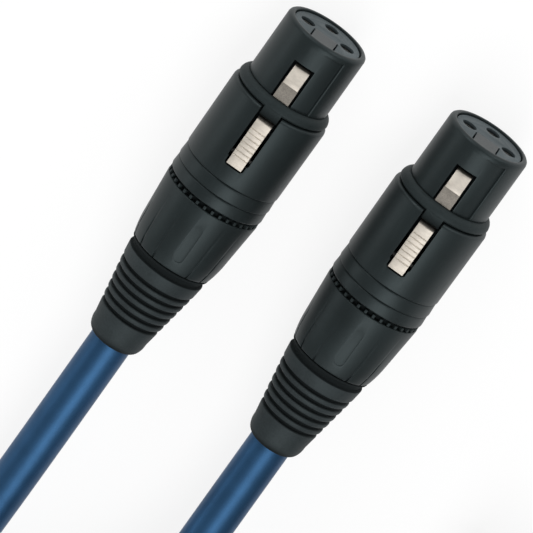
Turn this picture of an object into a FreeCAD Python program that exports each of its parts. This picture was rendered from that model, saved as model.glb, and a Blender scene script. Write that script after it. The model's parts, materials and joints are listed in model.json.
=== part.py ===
"""A pair of balanced audio cables, each with a three-contact socket connector and a three-pin plug.

The two socket connectors lie side by side on a surface with their latches up, noses towards -Y.
Their cables leave towards +Y and are wound, one on the other, into one round coil held by two ties.
Millimetres, +Z up. The origin is under the middle of the two socket connectors.
"""
import FreeCAD
import Part
import math
import os

V = FreeCAD.Vector
os.makedirs("parts", exist_ok=True)

# Cable
cable_diameter = 7.8
jacket_fit = 0.05
core_wire_diameter = 1.5
core_wire_reach = 1.1

# Where the connectors lie
pair_spacing = 33.2
pair_stagger = 1.67

# Shared rear half of every connector, along its axis from the front face
rear_start = 30.3
band_pitch = 2.65
band_step = 0.22
housing_end = 35.5
housing_front_radius = 9.5
housing_rear_inset = 0.15
housing_front_rounding = 0.8
housing_wall = 1.75
thread_clearance = 0.15

teeth = 36
teeth_length = 0.8
teeth_gap = 0.1
teeth_depth = 0.65
teeth_inset = 0.3

bushing_length = 13.1
bushing_inset = 0.2
bushing_taper = 0.88
bushing_mouth_step = 0.52
bushing_taper_end = 2.0
bushing_neck_length = 6.5
bushing_wall = 1.4
bushing_mouth_opening = 0.4
bushing_pocket_depth = 1.1
thread_pitch = 0.9
thread_depth = 0.25
thread_turns = 5
grip_grooves = 14
grip_groove_turn = -7.2
grip_groove_width = 0.35
grip_groove_depth = 0.22
grip_groove_front = 3.0
label_width = 1.85
label_length = 8.0
label_offset = 1.3
label_depth = 0.15
label_front = 2.5

chuck_clearance = 0.3
chuck_nose_taper = 0.6
chuck_length = 13.3
chuck_slits = 2
chuck_slit_width = 0.8
chuck_slit_length = 10.0
chuck_cable_gap = 0.1
chuck_taper = 1.8

boot_end = 69.0
boot_gap = 0.15
boot_front_inset = 0.1
boot_shoulder_taper = 0.63
boot_shoulder = 54.2
boot_middle_taper = 1.07
boot_middle = 60.8
boot_tip_wall = 1.25
boot_end_rounding = 1.5
boot_first_groove = 50.8
boot_first_groove_width = 1.3
boot_rib_start = 54.4
boot_ribs = 6
boot_rib_pitch = 1.68
boot_groove_width = 0.7
boot_groove_depth = 0.5
boot_groove_slope = 0.12
boot_root_length = 2.9
boot_root_clearance = 0.1

# Socket connector
nose_step = 0.375
nose_length = 12.7
nose_rim_rounding = 0.6
shell_wall = 0.75
shell_fit = 0.15
shell_rear_end = 28.4
socket_insert_fit = 0.15
socket_insert_front = 0.35
socket_insert_end = 22.0
contact_edge = 2.6
contact_bore_radius = 1.25
contact_bore_depth = 12.5
contact_front = 1.0
contact_wall = 0.4
contact_face_hole_radius = 1.375
contact_body_end = 15.0
solder_cup_end = 25.0
solder_cup_radius = 1.25
solder_cup_bore_radius = 0.85
solder_cup_depth = 4.5
solder_cup_open = 3.0
contact_fit = 0.03
key_width = 4.5
key_reach = 1.5
key_front = 0.15
key_end = 4.6
key_slit = 0.3
panel_from = -8.0
panel_to = 48.0
panel_depth = 0.35
panel_front = 0.75

# Shoulder ring between the nose and the body of a socket connector
ring_gap = 0.05
ring_length = 2.1
ring_front_step = 0.225
ring_middle_inset = 0.55
ring_rear_inset = 0.25
ring_bore_clearance = 0.15
ring_tongue_width = 4.0
ring_tongue_length = 1.55
ring_tongue_inset = 0.45

# Latch of a socket connector
window_front = 5.0
window_width = 4.15
latch_width = 3.2
latch_front = 5.6
hook_front_inset = 0.975
hook_rise = 0.925
hook_top_start = 8.3
hook_top_end = 9.6
hook_plate_inset = 0.125
hook_plate_end = 12.5
hook_plate_width = 3.4
latch_neck_rise = 0.35
latch_depth = 1.65
button_front = 16.95
button_end = 26.8
button_front_rise = 0.25
button_end_rise = 0.1
button_ridges = 6
button_ridge_start = 19.0
button_ridge_pitch = 0.98
button_ridge_radius = 0.2
button_ridge_proud = 0.1
pivot_along = 25.4
pivot_depth = 0.65
pivot_pin_radius = 0.6
pivot_running_clearance = 0.05
pivot_pin_length = 6.4
pivot_boss_radius = 1.2
slot_width = 4.3
slot_wide_end = 25.6
slot_narrow_width = 3.8
slot_end = 27.2
latch_channel_depth = 1.7
latch_channel_width = 4.9
leaf_front = 13.5
leaf_foot_end = 16.2
leaf_tip_start = 19.6
leaf_end = 20.4
leaf_width = 2.4
leaf_thickness = 0.25
leaf_clearance = 0.02
ground_strip_thickness = 0.3
ground_strip_half_angle = 20.0
ground_strip_front = 5.0
ground_strip_end = 16.0
ground_strip_fit = 0.05

# Plug connector
plug_bore_fit = 0.125
plug_bore_depth = 12.9
plug_lip_step = 0.9
plug_lip_length = 0.6
plug_mouth_rounding = 0.5
plug_insert_end = 20.0
plug_insert_fit = 0.05
pin_radius = 1.2
pin_tip = 2.0
pin_tip_rounding = 0.6
pin_stem_radius = 1.5
pin_stem_gap = 0.1
catch_width = 3.9
catch_front = 2.6
catch_end = 7.3
catch_skin = 0.4

# Coil, tails and ties
coil_gap = 0.43
coil_outer_radius = 43.4
coil_centre_x = -21.6
coil_centre_y = 138.0
coil_lead = 8.0
left_coil_start = -9.0
left_coil_turned = 909.0
right_coil_start = -45.0
right_coil_turned = 764.0
left_approach = 20.0
right_approach = 13.5
tail_turns = 13
tail_run = 8.4
tail_end_run = 14.0
tail_end_turn = 7.0
tail_fit = 0.1
left_tail_run = 9.0
left_plug_boot_y = 96.0
tie_width = 12.0
tie_thickness = 0.8
tie_fit = 0.3
tie_corner_step = 0.2
tie_least_bend = 0.02
tie_lap_bottom = 9.0
tie_lap_top = 25.0
near_tie_angle = -92.0
far_tie_angle = 88.0

# Worked out from the sizes above
cable_radius = cable_diameter / 2
axis_height = housing_front_radius
pitch = cable_diameter + coil_gap
coil_lift = tie_thickness + tie_fit
housing_rear_radius = housing_front_radius - housing_rear_inset
bore_radius = housing_front_radius - housing_wall
neck_radius = bore_radius - thread_clearance
teeth_tip_radius = housing_front_radius - teeth_inset
bushing_front_radius = housing_front_radius - bushing_inset
bushing_rear_radius = bushing_front_radius - bushing_taper
bushing_mouth_radius = bushing_rear_radius - bushing_mouth_step
bushing_bore_radius = neck_radius - bushing_wall
bushing_mouth_bore_radius = bushing_bore_radius + bushing_mouth_opening
bushing_pocket_radius = bushing_bore_radius + bushing_pocket_depth
chuck_radius = bushing_bore_radius - chuck_clearance
boot_front_radius = bushing_mouth_radius - boot_front_inset
boot_shoulder_radius = boot_front_radius - boot_shoulder_taper
boot_middle_radius = boot_shoulder_radius - boot_middle_taper
boot_tip_radius = cable_radius + boot_tip_wall
shell_rear_radius = bore_radius - shell_fit
nose_bore_radius = shell_rear_radius - shell_wall
nose_radius = shell_rear_radius + nose_step
socket_insert_radius = nose_bore_radius - socket_insert_fit
contact_circle_radius = socket_insert_radius - contact_edge
ring_front_radius = nose_radius + ring_front_step
ring_middle_radius = housing_front_radius - ring_middle_inset
ring_rear_radius = housing_front_radius - ring_rear_inset
ring_tongue_height = housing_front_radius - ring_tongue_inset
hook_front_height = nose_radius - hook_front_inset
hook_top = nose_radius + hook_rise
hook_plate_height = nose_radius - hook_plate_inset
latch_neck_height = nose_bore_radius + latch_neck_rise
latch_underside = nose_bore_radius - latch_depth
latch_channel_floor = latch_underside - latch_channel_depth
button_front_height = housing_front_radius + button_front_rise
button_end_height = housing_front_radius + button_end_rise
pivot_height = nose_bore_radius - pivot_depth
plug_bore_radius = nose_radius + plug_bore_fit
plug_lip_radius = plug_bore_radius - plug_lip_step
catch_height = housing_front_radius - catch_skin
bushing_front = housing_end + teeth_length + 2 * teeth_gap
bushing_end = bushing_front + bushing_length
neck_front = bushing_front - bushing_neck_length - teeth_gap
cable_inner_end = neck_front + 4.5
left_x = pair_spacing / 2
right_x = -pair_spacing / 2
left_nose_y = -(boot_end + pair_stagger) / 2 + pair_stagger
right_nose_y = left_nose_y - pair_stagger
coil_top = coil_lift + 3 * pitch + cable_diameter


def outline(corners, place):
    """A flat face through corners of (a, b) or (a, b, rounding), put in space by place(a, b)."""
    count = len(corners)
    points = [V(c[0], c[1], 0) for c in corners]
    rounds = [c[2] if len(c) > 2 else 0 for c in corners]
    cuts = []
    for i in range(count):
        here = points[i]
        back = (points[i - 1] - here).normalize()
        ahead = (points[(i + 1) % count] - here).normalize()
        if not rounds[i]:
            cuts.append((here, None, here))
            continue
        half = back.getAngle(ahead) / 2
        reach = rounds[i] / math.tan(half)
        inward = (back + ahead).normalize()
        middle = here + inward * (rounds[i] / math.sin(half) - rounds[i])
        cuts.append((here + back * reach, middle, here + ahead * reach))
    edges = []
    for i in range(count):
        start, middle, end = cuts[i]
        following = cuts[(i + 1) % count][0]
        if middle is not None:
            edges.append(Part.Arc(*[place(p.x, p.y) for p in (start, middle, end)]).toShape())
        edges.append(Part.LineSegment(place(end.x, end.y), place(following.x, following.y)).toShape())
    return Part.Face(Part.Wire(edges))


def turned(corners):
    """A solid of revolution about the connector's axis, from corners of (along, radius)."""
    face = outline(corners, lambda along, radius: V(radius, along, 0))
    return face.revolve(V(0, 0, 0), V(0, 1, 0), 360)


def side_cut(corners, width):
    """A solid of constant width across X, from corners of (along, height)."""
    face = outline(corners, lambda along, height: V(-width / 2, along, height))
    return face.extrude(V(width, 0, 0))


def top_cut(corners, bottom, top):
    """A solid of constant height, from corners of (across, along)."""
    face = outline(corners, lambda across, along: V(across, along, bottom))
    return face.extrude(V(0, 0, top - bottom))


def block(width, front, end, bottom, top):
    """A box as wide as given, in the middle of X."""
    return Part.makeBox(width, end - front, top - bottom, V(-width / 2, front, bottom))


def rod(radius, front, end, x=0, z=0):
    """A round bar along the connector's axis."""
    return Part.makeCylinder(radius, end - front, V(x, front, z), V(0, 1, 0))


def sector(inner, outer, front, end, middle, half_angle):
    """A piece of a tube about the axis; middle is its angle from the top, towards -X."""
    whole = rod(outer, front, end).cut(rod(inner, front - 1, end + 1))
    far = 3 * outer
    corners = [V(0, front - 1, 0)]
    for share in (-1, 0, 1):
        angle = math.radians(middle + share * half_angle)
        corners.append(V(-far * math.sin(angle), front - 1, far * math.cos(angle)))
    wedge = Part.Face(Part.makePolygon(corners + corners[:1])).extrude(V(0, end - front + 2, 0))
    return whole.common(wedge)


def contact_places():
    """Where the three contacts lie: two level with the axis, one opposite the latch."""
    return [
        (contact_circle_radius, 0),
        (-contact_circle_radius, 0),
        (0, -contact_circle_radius),
    ]


def pipe(wire, radius):
    """A round tube along a wire whose first stretch is straight."""
    first = wire.Edges[0]
    start = first.valueAt(first.FirstParameter)
    heading = first.tangentAt(first.FirstParameter)
    ring = Part.Wire(Part.Circle(start, heading, radius).toShape())
    return wire.makePipeShell([ring], True, False)


def route_wire(points, name):
    """Straight runs joined by arcs as large as the runs allow, with each arc's radius printed."""
    share = 0.45
    edges = []
    radii = []
    last = points[0]
    for before, here, after in zip(points, points[1:], points[2:]):
        back = (before - here).normalize()
        ahead = (after - here).normalize()
        reach = share * min((before - here).Length, (after - here).Length)
        half_turn = (math.pi - back.getAngle(ahead)) / 2
        radius = reach / math.tan(half_turn)
        radii.append(round(radius, 1))
        start = here + back * reach
        end = here + ahead * reach
        inward = (back + ahead).normalize()
        middle = here + inward * (radius / math.cos(half_turn) - radius)
        edges.append(Part.LineSegment(last, start).toShape())
        edges.append(Part.Arc(start, middle, end).toShape())
        last = end
    edges.append(Part.LineSegment(last, points[-1]).toShape())
    wire = Part.Wire(edges)
    print(name, "length", round(wire.Length, 1), "radii", radii)
    return wire


def coil_point(start, turned_by, layer, angle):
    """The centre of the cable in a two-layer coil that spirals in and out again."""
    end = start + turned_by
    middle = start + turned_by / 2
    radius = coil_outer_radius - pitch * min(angle - start, end - angle) / 360
    rise = min(1, max(0, (angle - middle + 90) / 180))
    height = coil_lift + cable_radius + pitch * (layer + rise * rise * (3 - 2 * rise))
    turn = math.radians(angle)
    x = coil_centre_x + radius * math.cos(turn)
    y = coil_centre_y + radius * math.sin(turn)
    return V(x, y, height)


def coil_heading(start, turned_by, layer, angle):
    """The direction in which the cable runs at an angle of its coil."""
    step = 0.01
    low = max(start, angle - step)
    high = min(start + turned_by, angle + step)
    ahead = coil_point(start, turned_by, layer, high)
    return (ahead - coil_point(start, turned_by, layer, low)).normalize()


def coil_entry(start, turned_by, layer):
    """The point and the direction in which the cable comes into its coil."""
    heading = coil_heading(start, turned_by, layer, start)
    heading = V(heading.x, heading.y, 0).normalize()
    return coil_point(start, turned_by, layer, start) - heading * coil_lead, heading


def coil_exit(start, turned_by, layer):
    """The point and the direction in which the cable leaves its coil."""
    end = start + turned_by
    heading = coil_heading(start, turned_by, layer, end)
    heading = V(heading.x, heading.y, 0).normalize()
    return coil_point(start, turned_by, layer, end) + heading * coil_lead, heading


def arc_from(start, heading, end):
    """The arc from a point in a direction to another point, and its direction there."""
    chord = end - start
    straight = chord.Length
    along = chord * (1 / straight)
    bend = heading.getAngle(along)
    side = heading - along * heading.dot(along)
    middle = (start + end) * 0.5 + side.normalize() * (straight / 2 * math.tan(bend / 2))
    return Part.Arc(start, middle, end).toShape()


def biarc(start, heading, end, end_heading):
    """Two arcs that join two points and run in the given direction at each."""
    chord = end - start
    both = heading + end_heading
    across = chord.dot(both)
    turn = 2 * (1 - heading.dot(end_heading))
    reach = (-across + math.sqrt(across ** 2 + turn * chord.dot(chord))) / turn
    joint = (start + end + (heading - end_heading) * reach) * 0.5
    return [arc_from(start, heading, joint), arc_from(end, end_heading * -1, joint)]


def coil_wire(start, turned_by, layer):
    """A coil's centre line: a straight lead at each end and two arcs to a quarter turn."""
    quarter = 90
    middle = start + turned_by / 2
    side_steps = math.ceil((turned_by / 2 - quarter) / quarter)
    side_step = (turned_by / 2 - quarter) / side_steps
    angles = [start + side_step * i for i in range(side_steps + 1)]
    angles += [middle, middle + quarter]
    angles += [middle + quarter + side_step * i for i in range(1, side_steps + 1)]
    first, heading = coil_entry(start, turned_by, layer)
    last, end_heading = coil_exit(start, turned_by, layer)
    points = [coil_point(start, turned_by, layer, a) for a in angles]
    headings = [coil_heading(start, turned_by, layer, a) for a in angles]
    headings[0] = heading
    headings[-1] = end_heading
    edges = [Part.LineSegment(first, points[0]).toShape()]
    for i in range(len(angles) - 1):
        edges += biarc(points[i], headings[i], points[i + 1], headings[i + 1])
    edges.append(Part.LineSegment(points[-1], last).toShape())
    return Part.Wire(Part.__sortEdges__(edges))


def least_gap(first, second, neighbours):
    """The least distance between the skins of two cables, measured on points 1.5 mm apart."""
    spacing = 1.5
    one = first.discretize(Distance=spacing)
    two = second.discretize(Distance=spacing)
    least = min(
        p.distanceToPoint(q)
        for i, p in enumerate(one)
        for j, q in enumerate(two)
        if abs(i - j) > neighbours
    )
    return round(least - cable_diameter, 2)


def save(name, shape, place):
    """Writes one named piece, moved to where it lies, as its own file."""
    moved = shape.copy()
    moved.translate(place)
    if not moved.isValid() or moved.Volume <= 0:
        raise ValueError(name + " is not a closed solid")
    moved.exportStep("parts/" + name + ".step")


def rear_bands():
    """The two flared bands at the rear of a housing, as corners of (along, radius)."""
    corners = []
    for i in range(2):
        front = rear_start + i * band_pitch
        corners.append((front, housing_rear_radius))
        corners.append((front, housing_rear_radius - band_step))
    corners.append((housing_end, housing_rear_radius, 0.1))
    return corners


def body_sleeve():
    """Outer body of a socket connector, with the slot for the latch button."""
    front = nose_length + ring_gap + ring_length + ring_gap
    sleeve = turned(
        [(front, bore_radius), (front, housing_front_radius, housing_front_rounding)]
        + rear_bands()
        + [(housing_end, bore_radius)]
    )
    wide = slot_width / 2
    narrow = slot_narrow_width / 2
    corner = 0.4
    slot = top_cut(
        [
            (-wide, front - 1),
            (-wide, slot_wide_end, corner / 2),
            (-narrow, slot_wide_end),
            (-narrow, slot_end, corner),
            (narrow, slot_end, corner),
            (narrow, slot_wide_end),
            (wide, slot_wide_end, corner / 2),
            (wide, front - 1),
        ],
        0,
        2 * housing_front_radius,
    )
    return sleeve.cut(slot)


def nose_shell():
    """Nose and inner tube of a socket connector, with its key, its panel and the latch window."""
    shell = turned(
        [
            (0, nose_bore_radius, 0.15),
            (0, nose_radius, nose_rim_rounding),
            (nose_length, nose_radius),
            (nose_length, shell_rear_radius),
            (shell_rear_end, shell_rear_radius),
            (shell_rear_end, nose_bore_radius),
        ]
    )
    middle = (panel_from + panel_to) / 2
    spread = math.radians(panel_to - panel_from)
    shift = panel_depth / math.sin(spread)
    aside = math.radians(panel_from - 90)
    kept = rod(nose_radius, 0, nose_length, -shift * math.sin(aside), shift * math.cos(aside))
    panel = sector(
        nose_bore_radius, 2 * nose_radius, panel_front, nose_length, middle, (panel_to - panel_from) / 2
    )
    shell = shell.cut(panel.cut(kept))
    key_root = (nose_bore_radius + nose_radius) / 2
    shell = shell.fuse(block(key_width, key_front, key_end, key_reach, key_root))
    shell = shell.cut(block(window_width, window_front, slot_end, 0, 2 * nose_radius))
    shell = shell.cut(pivot_pin(0.02))
    return shell.removeSplitter()


def pivot_pin(clearance=0):
    """Pin that the latch turns on, across the connector."""
    half = pivot_pin_length / 2 + clearance
    place = V(-half, pivot_along, pivot_height)
    return Part.makeCylinder(pivot_pin_radius + clearance, 2 * half, place, V(1, 0, 0))


def shoulder_ring():
    """Matte ring between nose and body, with the tongue that fills the front of the slot."""
    front = nose_length + ring_gap
    end = front + ring_length
    inner = shell_rear_radius + ring_bore_clearance
    ring = turned(
        [
            (front, inner),
            (front, ring_front_radius, 0.15),
            (front + ring_length * 0.45, ring_middle_radius, 0.8),
            (end, ring_rear_radius, 0.1),
            (end, inner),
        ]
    )
    tongue = block(
        ring_tongue_width, end - 0.5, end + ring_tongue_length, inner + 0.05, ring_tongue_height
    )
    return ring.fuse(tongue).removeSplitter()


def socket_insert():
    """Plastic core of a socket connector, bored for its contacts and cut away under the latch."""
    insert = turned(
        [
            (socket_insert_front, 0),
            (socket_insert_front, socket_insert_radius, 0.2),
            (socket_insert_end, socket_insert_radius),
            (socket_insert_end, 0),
        ]
    )
    body_radius = contact_bore_radius + contact_wall
    for x, z in contact_places():
        insert = insert.cut(rod(contact_face_hole_radius, 0, contact_front, x, z))
        insert = insert.cut(rod(body_radius + contact_fit, contact_front, socket_insert_end + 1, x, z))
    top = 2 * socket_insert_radius
    key_room = block(
        key_width + 2 * key_slit, 0, key_end + key_slit, key_reach - key_slit, top
    )
    channel = block(
        latch_channel_width, key_end, socket_insert_end + 1, latch_channel_floor, top
    )
    pocket = sector(
        socket_insert_radius - ground_strip_thickness - ground_strip_fit,
        socket_insert_radius + 1,
        ground_strip_front - ground_strip_fit,
        ground_strip_end + ground_strip_fit,
        180,
        ground_strip_half_angle + 1,
    )
    return insert.cut(key_room).cut(channel).cut(pocket)


def ground_strip():
    """Curved spring strip that earths the shell, in the pocket under the insert."""
    return sector(
        socket_insert_radius - ground_strip_thickness,
        socket_insert_radius,
        ground_strip_front,
        ground_strip_end,
        180,
        ground_strip_half_angle,
    )


def solder_cup(bar, x, z):
    """Bores the rear end of a contact for its wire and opens its side."""
    bar = bar.cut(rod(solder_cup_bore_radius, solder_cup_end - solder_cup_depth, solder_cup_end + 1, x, z))
    opening = Part.makeBox(
        2 * solder_cup_radius + 1,
        solder_cup_open + 1,
        solder_cup_radius + 1,
        V(x - solder_cup_radius - 0.5, solder_cup_end - solder_cup_open, z + solder_cup_bore_radius / 2),
    )
    return bar.cut(opening)


def socket_contacts():
    """The three tubular contacts."""
    contacts = []
    for x, z in contact_places():
        contact = rod(contact_bore_radius + contact_wall, contact_front, contact_body_end, x, z)
        contact = contact.fuse(rod(solder_cup_radius, contact_body_end, solder_cup_end, x, z))
        contact = contact.cut(
            rod(contact_bore_radius, contact_front - 1, contact_front + contact_bore_depth, x, z)
        )
        contacts.append(solder_cup(contact, x, z))
    return Part.Compound(contacts)


def latch():
    """Latch lever: hook in the nose window, neck under the ring and ridged push button."""
    lever = side_cut(
        [
            (latch_front, latch_underside),
            (latch_front, hook_front_height, 0.3),
            (hook_top_start, hook_top, 0.5),
            (hook_top_end, hook_top, 0.15),
            (hook_top_end, hook_plate_height),
            (hook_plate_end, hook_plate_height, 0.2),
            (hook_plate_end + 0.3, latch_neck_height),
            (button_front, latch_neck_height),
            (button_front, button_front_height, 0.25),
            (button_end, button_end_height, 0.25),
            (button_end, pivot_height - pivot_boss_radius, 0.6),
            (pivot_along - pivot_boss_radius, pivot_height - pivot_boss_radius),
            (pivot_along - 2 * pivot_boss_radius, latch_underside),
        ],
        latch_width,
    )
    plate = block(
        hook_plate_width, hook_top_end, hook_plate_end, latch_neck_height, hook_plate_height
    )
    lever = lever.fuse(plate)
    slope = (button_end_height - button_front_height) / (button_end - button_front)
    for i in range(button_ridges):
        along = button_ridge_start + i * button_ridge_pitch
        top = button_front_height + slope * (along - button_front)
        height = top + button_ridge_proud - button_ridge_radius
        start = V(-latch_width / 2, along, height)
        lever = lever.fuse(Part.makeCylinder(button_ridge_radius, latch_width, start, V(1, 0, 0)))
    hole_start = V(-latch_width, pivot_along, pivot_height)
    hole_radius = pivot_pin_radius + pivot_running_clearance
    hole = Part.makeCylinder(hole_radius, 2 * latch_width, hole_start, V(1, 0, 0))
    return lever.cut(hole)


def latch_spring():
    """Leaf spring that stands on the insert and lifts the latch."""
    tip = latch_underside - leaf_clearance - leaf_thickness
    return side_cut(
        [
            (leaf_front, latch_channel_floor),
            (leaf_foot_end, latch_channel_floor, 0.8),
            (leaf_tip_start, tip, 0.8),
            (leaf_end, tip),
            (leaf_end, tip + leaf_thickness),
            (leaf_tip_start, tip + leaf_thickness, 0.8),
            (leaf_foot_end, latch_channel_floor + leaf_thickness, 0.8),
            (leaf_front, latch_channel_floor + leaf_thickness),
        ],
        leaf_width,
    )


def anti_turn_ring():
    """Toothed ring between the housing and the bushing."""
    front = housing_end + teeth_gap
    step = 2 * math.pi / teeth
    corners = []
    for i in range(teeth):
        for share, radius in (
            (-0.24, teeth_tip_radius - teeth_depth),
            (-0.17, teeth_tip_radius),
            (0.17, teeth_tip_radius),
            (0.24, teeth_tip_radius - teeth_depth),
        ):
            angle = (i + share) * step
            corners.append(V(radius * math.sin(angle), front, radius * math.cos(angle)))
    face = Part.Face(Part.makePolygon(corners + corners[:1]))
    ring = face.extrude(V(0, teeth_length, 0))
    return ring.cut(rod(neck_radius + 0.05, front - 1, front + teeth_length + 1))


def chuck():
    """Slit clamp that the bushing closes on the cable."""
    front = neck_front + 1
    end = front + chuck_length
    bore = cable_radius + chuck_cable_gap
    body = turned(
        [
            (front, bore),
            (front, chuck_radius, 0.3),
            (end - chuck_taper, chuck_radius),
            (end, chuck_radius - chuck_nose_taper),
            (end, bore),
        ]
    )
    for i in range(chuck_slits):
        slit = block(
            chuck_slit_width, front - 1, front + chuck_slit_length, -2 * chuck_radius, 2 * chuck_radius
        )
        slit.rotate(V(0, 0, 0), V(0, 1, 0), 45 + 180 * i / chuck_slits)
        body = body.cut(slit)
    return body


def boot_pocket():
    """Where the bushing's pocket for the root of the boot starts and ends."""
    end = bushing_end - 2.3
    return end - boot_root_length, end


def bushing():
    """Screwed rear bushing with a threaded neck, grip grooves and a bare label recess."""
    pocket_front, pocket_end = boot_pocket()
    thread = []
    for i in range(thread_turns):
        along = neck_front + 0.6 + i * thread_pitch
        thread.append((along, neck_radius - thread_depth))
        thread.append((along + thread_pitch / 2, neck_radius))
    body = turned(
        [(neck_front, bushing_bore_radius), (neck_front, neck_radius - thread_depth)]
        + thread
        + [
            (bushing_front, neck_radius),
            (bushing_front, bushing_front_radius, 0.2),
            (bushing_end - bushing_taper_end, bushing_rear_radius, 2.2),
            (bushing_end, bushing_mouth_radius, 0.25),
            (bushing_end, bushing_mouth_bore_radius),
            (pocket_end, bushing_mouth_bore_radius),
            (pocket_end, bushing_pocket_radius),
            (pocket_front, bushing_pocket_radius),
            (pocket_front, bushing_bore_radius),
        ]
    )
    taper = (bushing_front_radius - bushing_rear_radius) / (bushing_length - bushing_taper_end)
    groove_front = bushing_front + grip_groove_front
    front_height = bushing_front_radius - taper * grip_groove_front
    end_height = bushing_rear_radius - grip_groove_depth
    for i in range(1, grip_grooves):
        groove = side_cut(
            [
                (groove_front, front_height),
                (bushing_end - bushing_taper_end, end_height),
                (bushing_end + 1, end_height - 1.2),
                (bushing_end + 1, 2 * bushing_front_radius),
                (groove_front, 2 * bushing_front_radius),
            ],
            grip_groove_width,
        )
        groove.rotate(V(0, 0, 0), V(0, 1, 0), 360 * i / grip_grooves + grip_groove_turn)
        body = body.cut(groove)
    label_start = bushing_front + label_front
    half = label_width / 2
    rounding = 0.45 * label_width
    label = top_cut(
        [
            (-half, label_start, rounding),
            (-half, label_start + label_length, rounding),
            (half, label_start + label_length, rounding),
            (half, label_start, rounding),
        ],
        0,
        2 * bushing_front_radius,
    )
    label.translate(V(-label_offset, 0, 0))
    floor = turned(
        [
            (bushing_front, 0),
            (bushing_front, bushing_front_radius - label_depth),
            (bushing_end - bushing_taper_end, bushing_rear_radius - label_depth),
            (bushing_end, bushing_rear_radius - label_depth),
            (bushing_end, 0),
        ]
    )
    return body.cut(label.cut(floor))


def boot_radius(along):
    """Outer radius of the boot without its grooves."""
    knots = [
        (bushing_end, boot_front_radius),
        (boot_shoulder, boot_shoulder_radius),
        (boot_middle, boot_middle_radius),
        (boot_end - 2 * boot_end_rounding, boot_tip_radius + 0.1),
        (boot_end, boot_tip_radius),
    ]
    for (a, r), (b, q) in zip(knots, knots[1:]):
        if along <= b:
            return r + (q - r) * (along - a) / (b - a)
    return boot_tip_radius


def boot():
    """Rubber bend relief with its ribs, rooted in the bushing."""
    pocket_front, pocket_end = boot_pocket()
    bore = cable_radius + jacket_fit
    front = bushing_end + boot_gap
    root_radius = bushing_pocket_radius - boot_root_clearance
    stem_radius = bushing_mouth_bore_radius - boot_root_clearance
    corners = [
        (pocket_front + boot_root_clearance, bore),
        (pocket_front + boot_root_clearance, root_radius),
        (pocket_end - boot_root_clearance, root_radius),
        (pocket_end - boot_root_clearance, stem_radius),
        (front, stem_radius),
        (front, boot_radius(front)),
    ]
    grooves = [(boot_first_groove, boot_first_groove_width)]
    grooves += [(boot_rib_start + i * boot_rib_pitch, boot_groove_width) for i in range(boot_ribs)]
    for middle, width in grooves:
        start = middle - width / 2
        end = middle + width / 2
        corners.append((start, boot_radius(start)))
        corners.append((start + boot_groove_slope, boot_radius(start) - boot_groove_depth))
        corners.append((end - boot_groove_slope, boot_radius(end) - boot_groove_depth))
        corners.append((end, boot_radius(end)))
    corners.append((boot_end - 2 * boot_end_rounding, boot_tip_radius + 0.1))
    corners.append((boot_end, boot_tip_radius, 0.8 * boot_end_rounding))
    corners.append((boot_end, bore))
    return turned(corners)


def cable_end():
    """Jacketed end of the cable inside a connector."""
    return rod(cable_radius, cable_inner_end, boot_end)


def core_wires():
    """The three wires from the solder cups into the cable's jacket."""
    radius = core_wire_diameter / 2
    wires = []
    for x, z in contact_places():
        away = core_wire_reach / contact_circle_radius
        points = [
            V(x, solder_cup_end - solder_cup_depth + 0.5, z),
            V(x, solder_cup_end + 1.5, z),
            V(x * away, cable_inner_end - 1.5, z * away),
            V(x * away, cable_inner_end, z * away),
        ]
        pieces = []
        for start, end in zip(points, points[1:]):
            run = end - start
            pieces.append(Part.makeCylinder(radius, run.Length, start, run))
        for joint in points[1:-1]:
            pieces.append(Part.makeSphere(radius, joint))
        wires.append(pieces[0].multiFuse(pieces[1:]).removeSplitter())
    return Part.Compound(wires)


def plug_shell():
    """Housing of a plug connector: the tube that a socket connector's nose enters."""
    lip_end = plug_bore_depth + plug_lip_length
    shell = turned(
        [
            (0, plug_bore_radius, 0.3),
            (0, housing_front_radius, plug_mouth_rounding),
        ]
        + rear_bands()
        + [
            (housing_end, bore_radius),
            (lip_end, bore_radius),
            (lip_end, plug_lip_radius),
            (plug_bore_depth, plug_lip_radius),
            (plug_bore_depth, plug_bore_radius),
        ]
    )
    return shell.cut(block(catch_width, catch_front, catch_end, 0.9 * plug_bore_radius, catch_height))


def plug_insert():
    """Plastic core of a plug connector that carries the pins."""
    lip_end = plug_bore_depth + plug_lip_length
    insert = turned(
        [
            (plug_bore_depth, 0),
            (plug_bore_depth, plug_lip_radius - plug_insert_fit, 0.2),
            (lip_end + plug_insert_fit, plug_lip_radius - plug_insert_fit),
            (lip_end + plug_insert_fit, bore_radius - plug_insert_fit),
            (plug_insert_end, bore_radius - plug_insert_fit, 0.3),
            (plug_insert_end, 0),
        ]
    )
    for x, z in contact_places():
        insert = insert.cut(rod(pin_stem_radius + contact_fit, 0, plug_insert_end + 1, x, z))
    return insert


def plug_pins():
    """The three pins with their rounded tips, thicker stems and solder cups."""
    pins = []
    stem_front = plug_bore_depth + pin_stem_gap
    for x, z in contact_places():
        pin = turned(
            [
                (pin_tip, 0),
                (pin_tip, pin_radius, pin_tip_rounding),
                (stem_front, pin_radius),
                (stem_front, pin_stem_radius, 0.1),
                (solder_cup_end, pin_stem_radius),
                (solder_cup_end, 0),
            ]
        )
        pin.translate(V(x, 0, z))
        pins.append(solder_cup(pin, x, z))
    return Part.Compound(pins)


def rear_half():
    """The pieces that every connector has from its housing's rear to its boot."""
    return {
        "anti_turn_ring": anti_turn_ring(),
        "clamp_chuck": chuck(),
        "bushing": bushing(),
        "boot": boot(),
        "cable_end": cable_end(),
        "core_wires": core_wires(),
    }


def socket_pieces():
    """Every piece of a socket connector, by name."""
    return {
        "nose_shell": nose_shell(),
        "shoulder_ring": shoulder_ring(),
        "body_sleeve": body_sleeve(),
        "insert": socket_insert(),
        "contacts": socket_contacts(),
        "latch": latch(),
        "latch_pin": pivot_pin(),
        "latch_spring": latch_spring(),
        "ground_strip": ground_strip(),
    }


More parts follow.
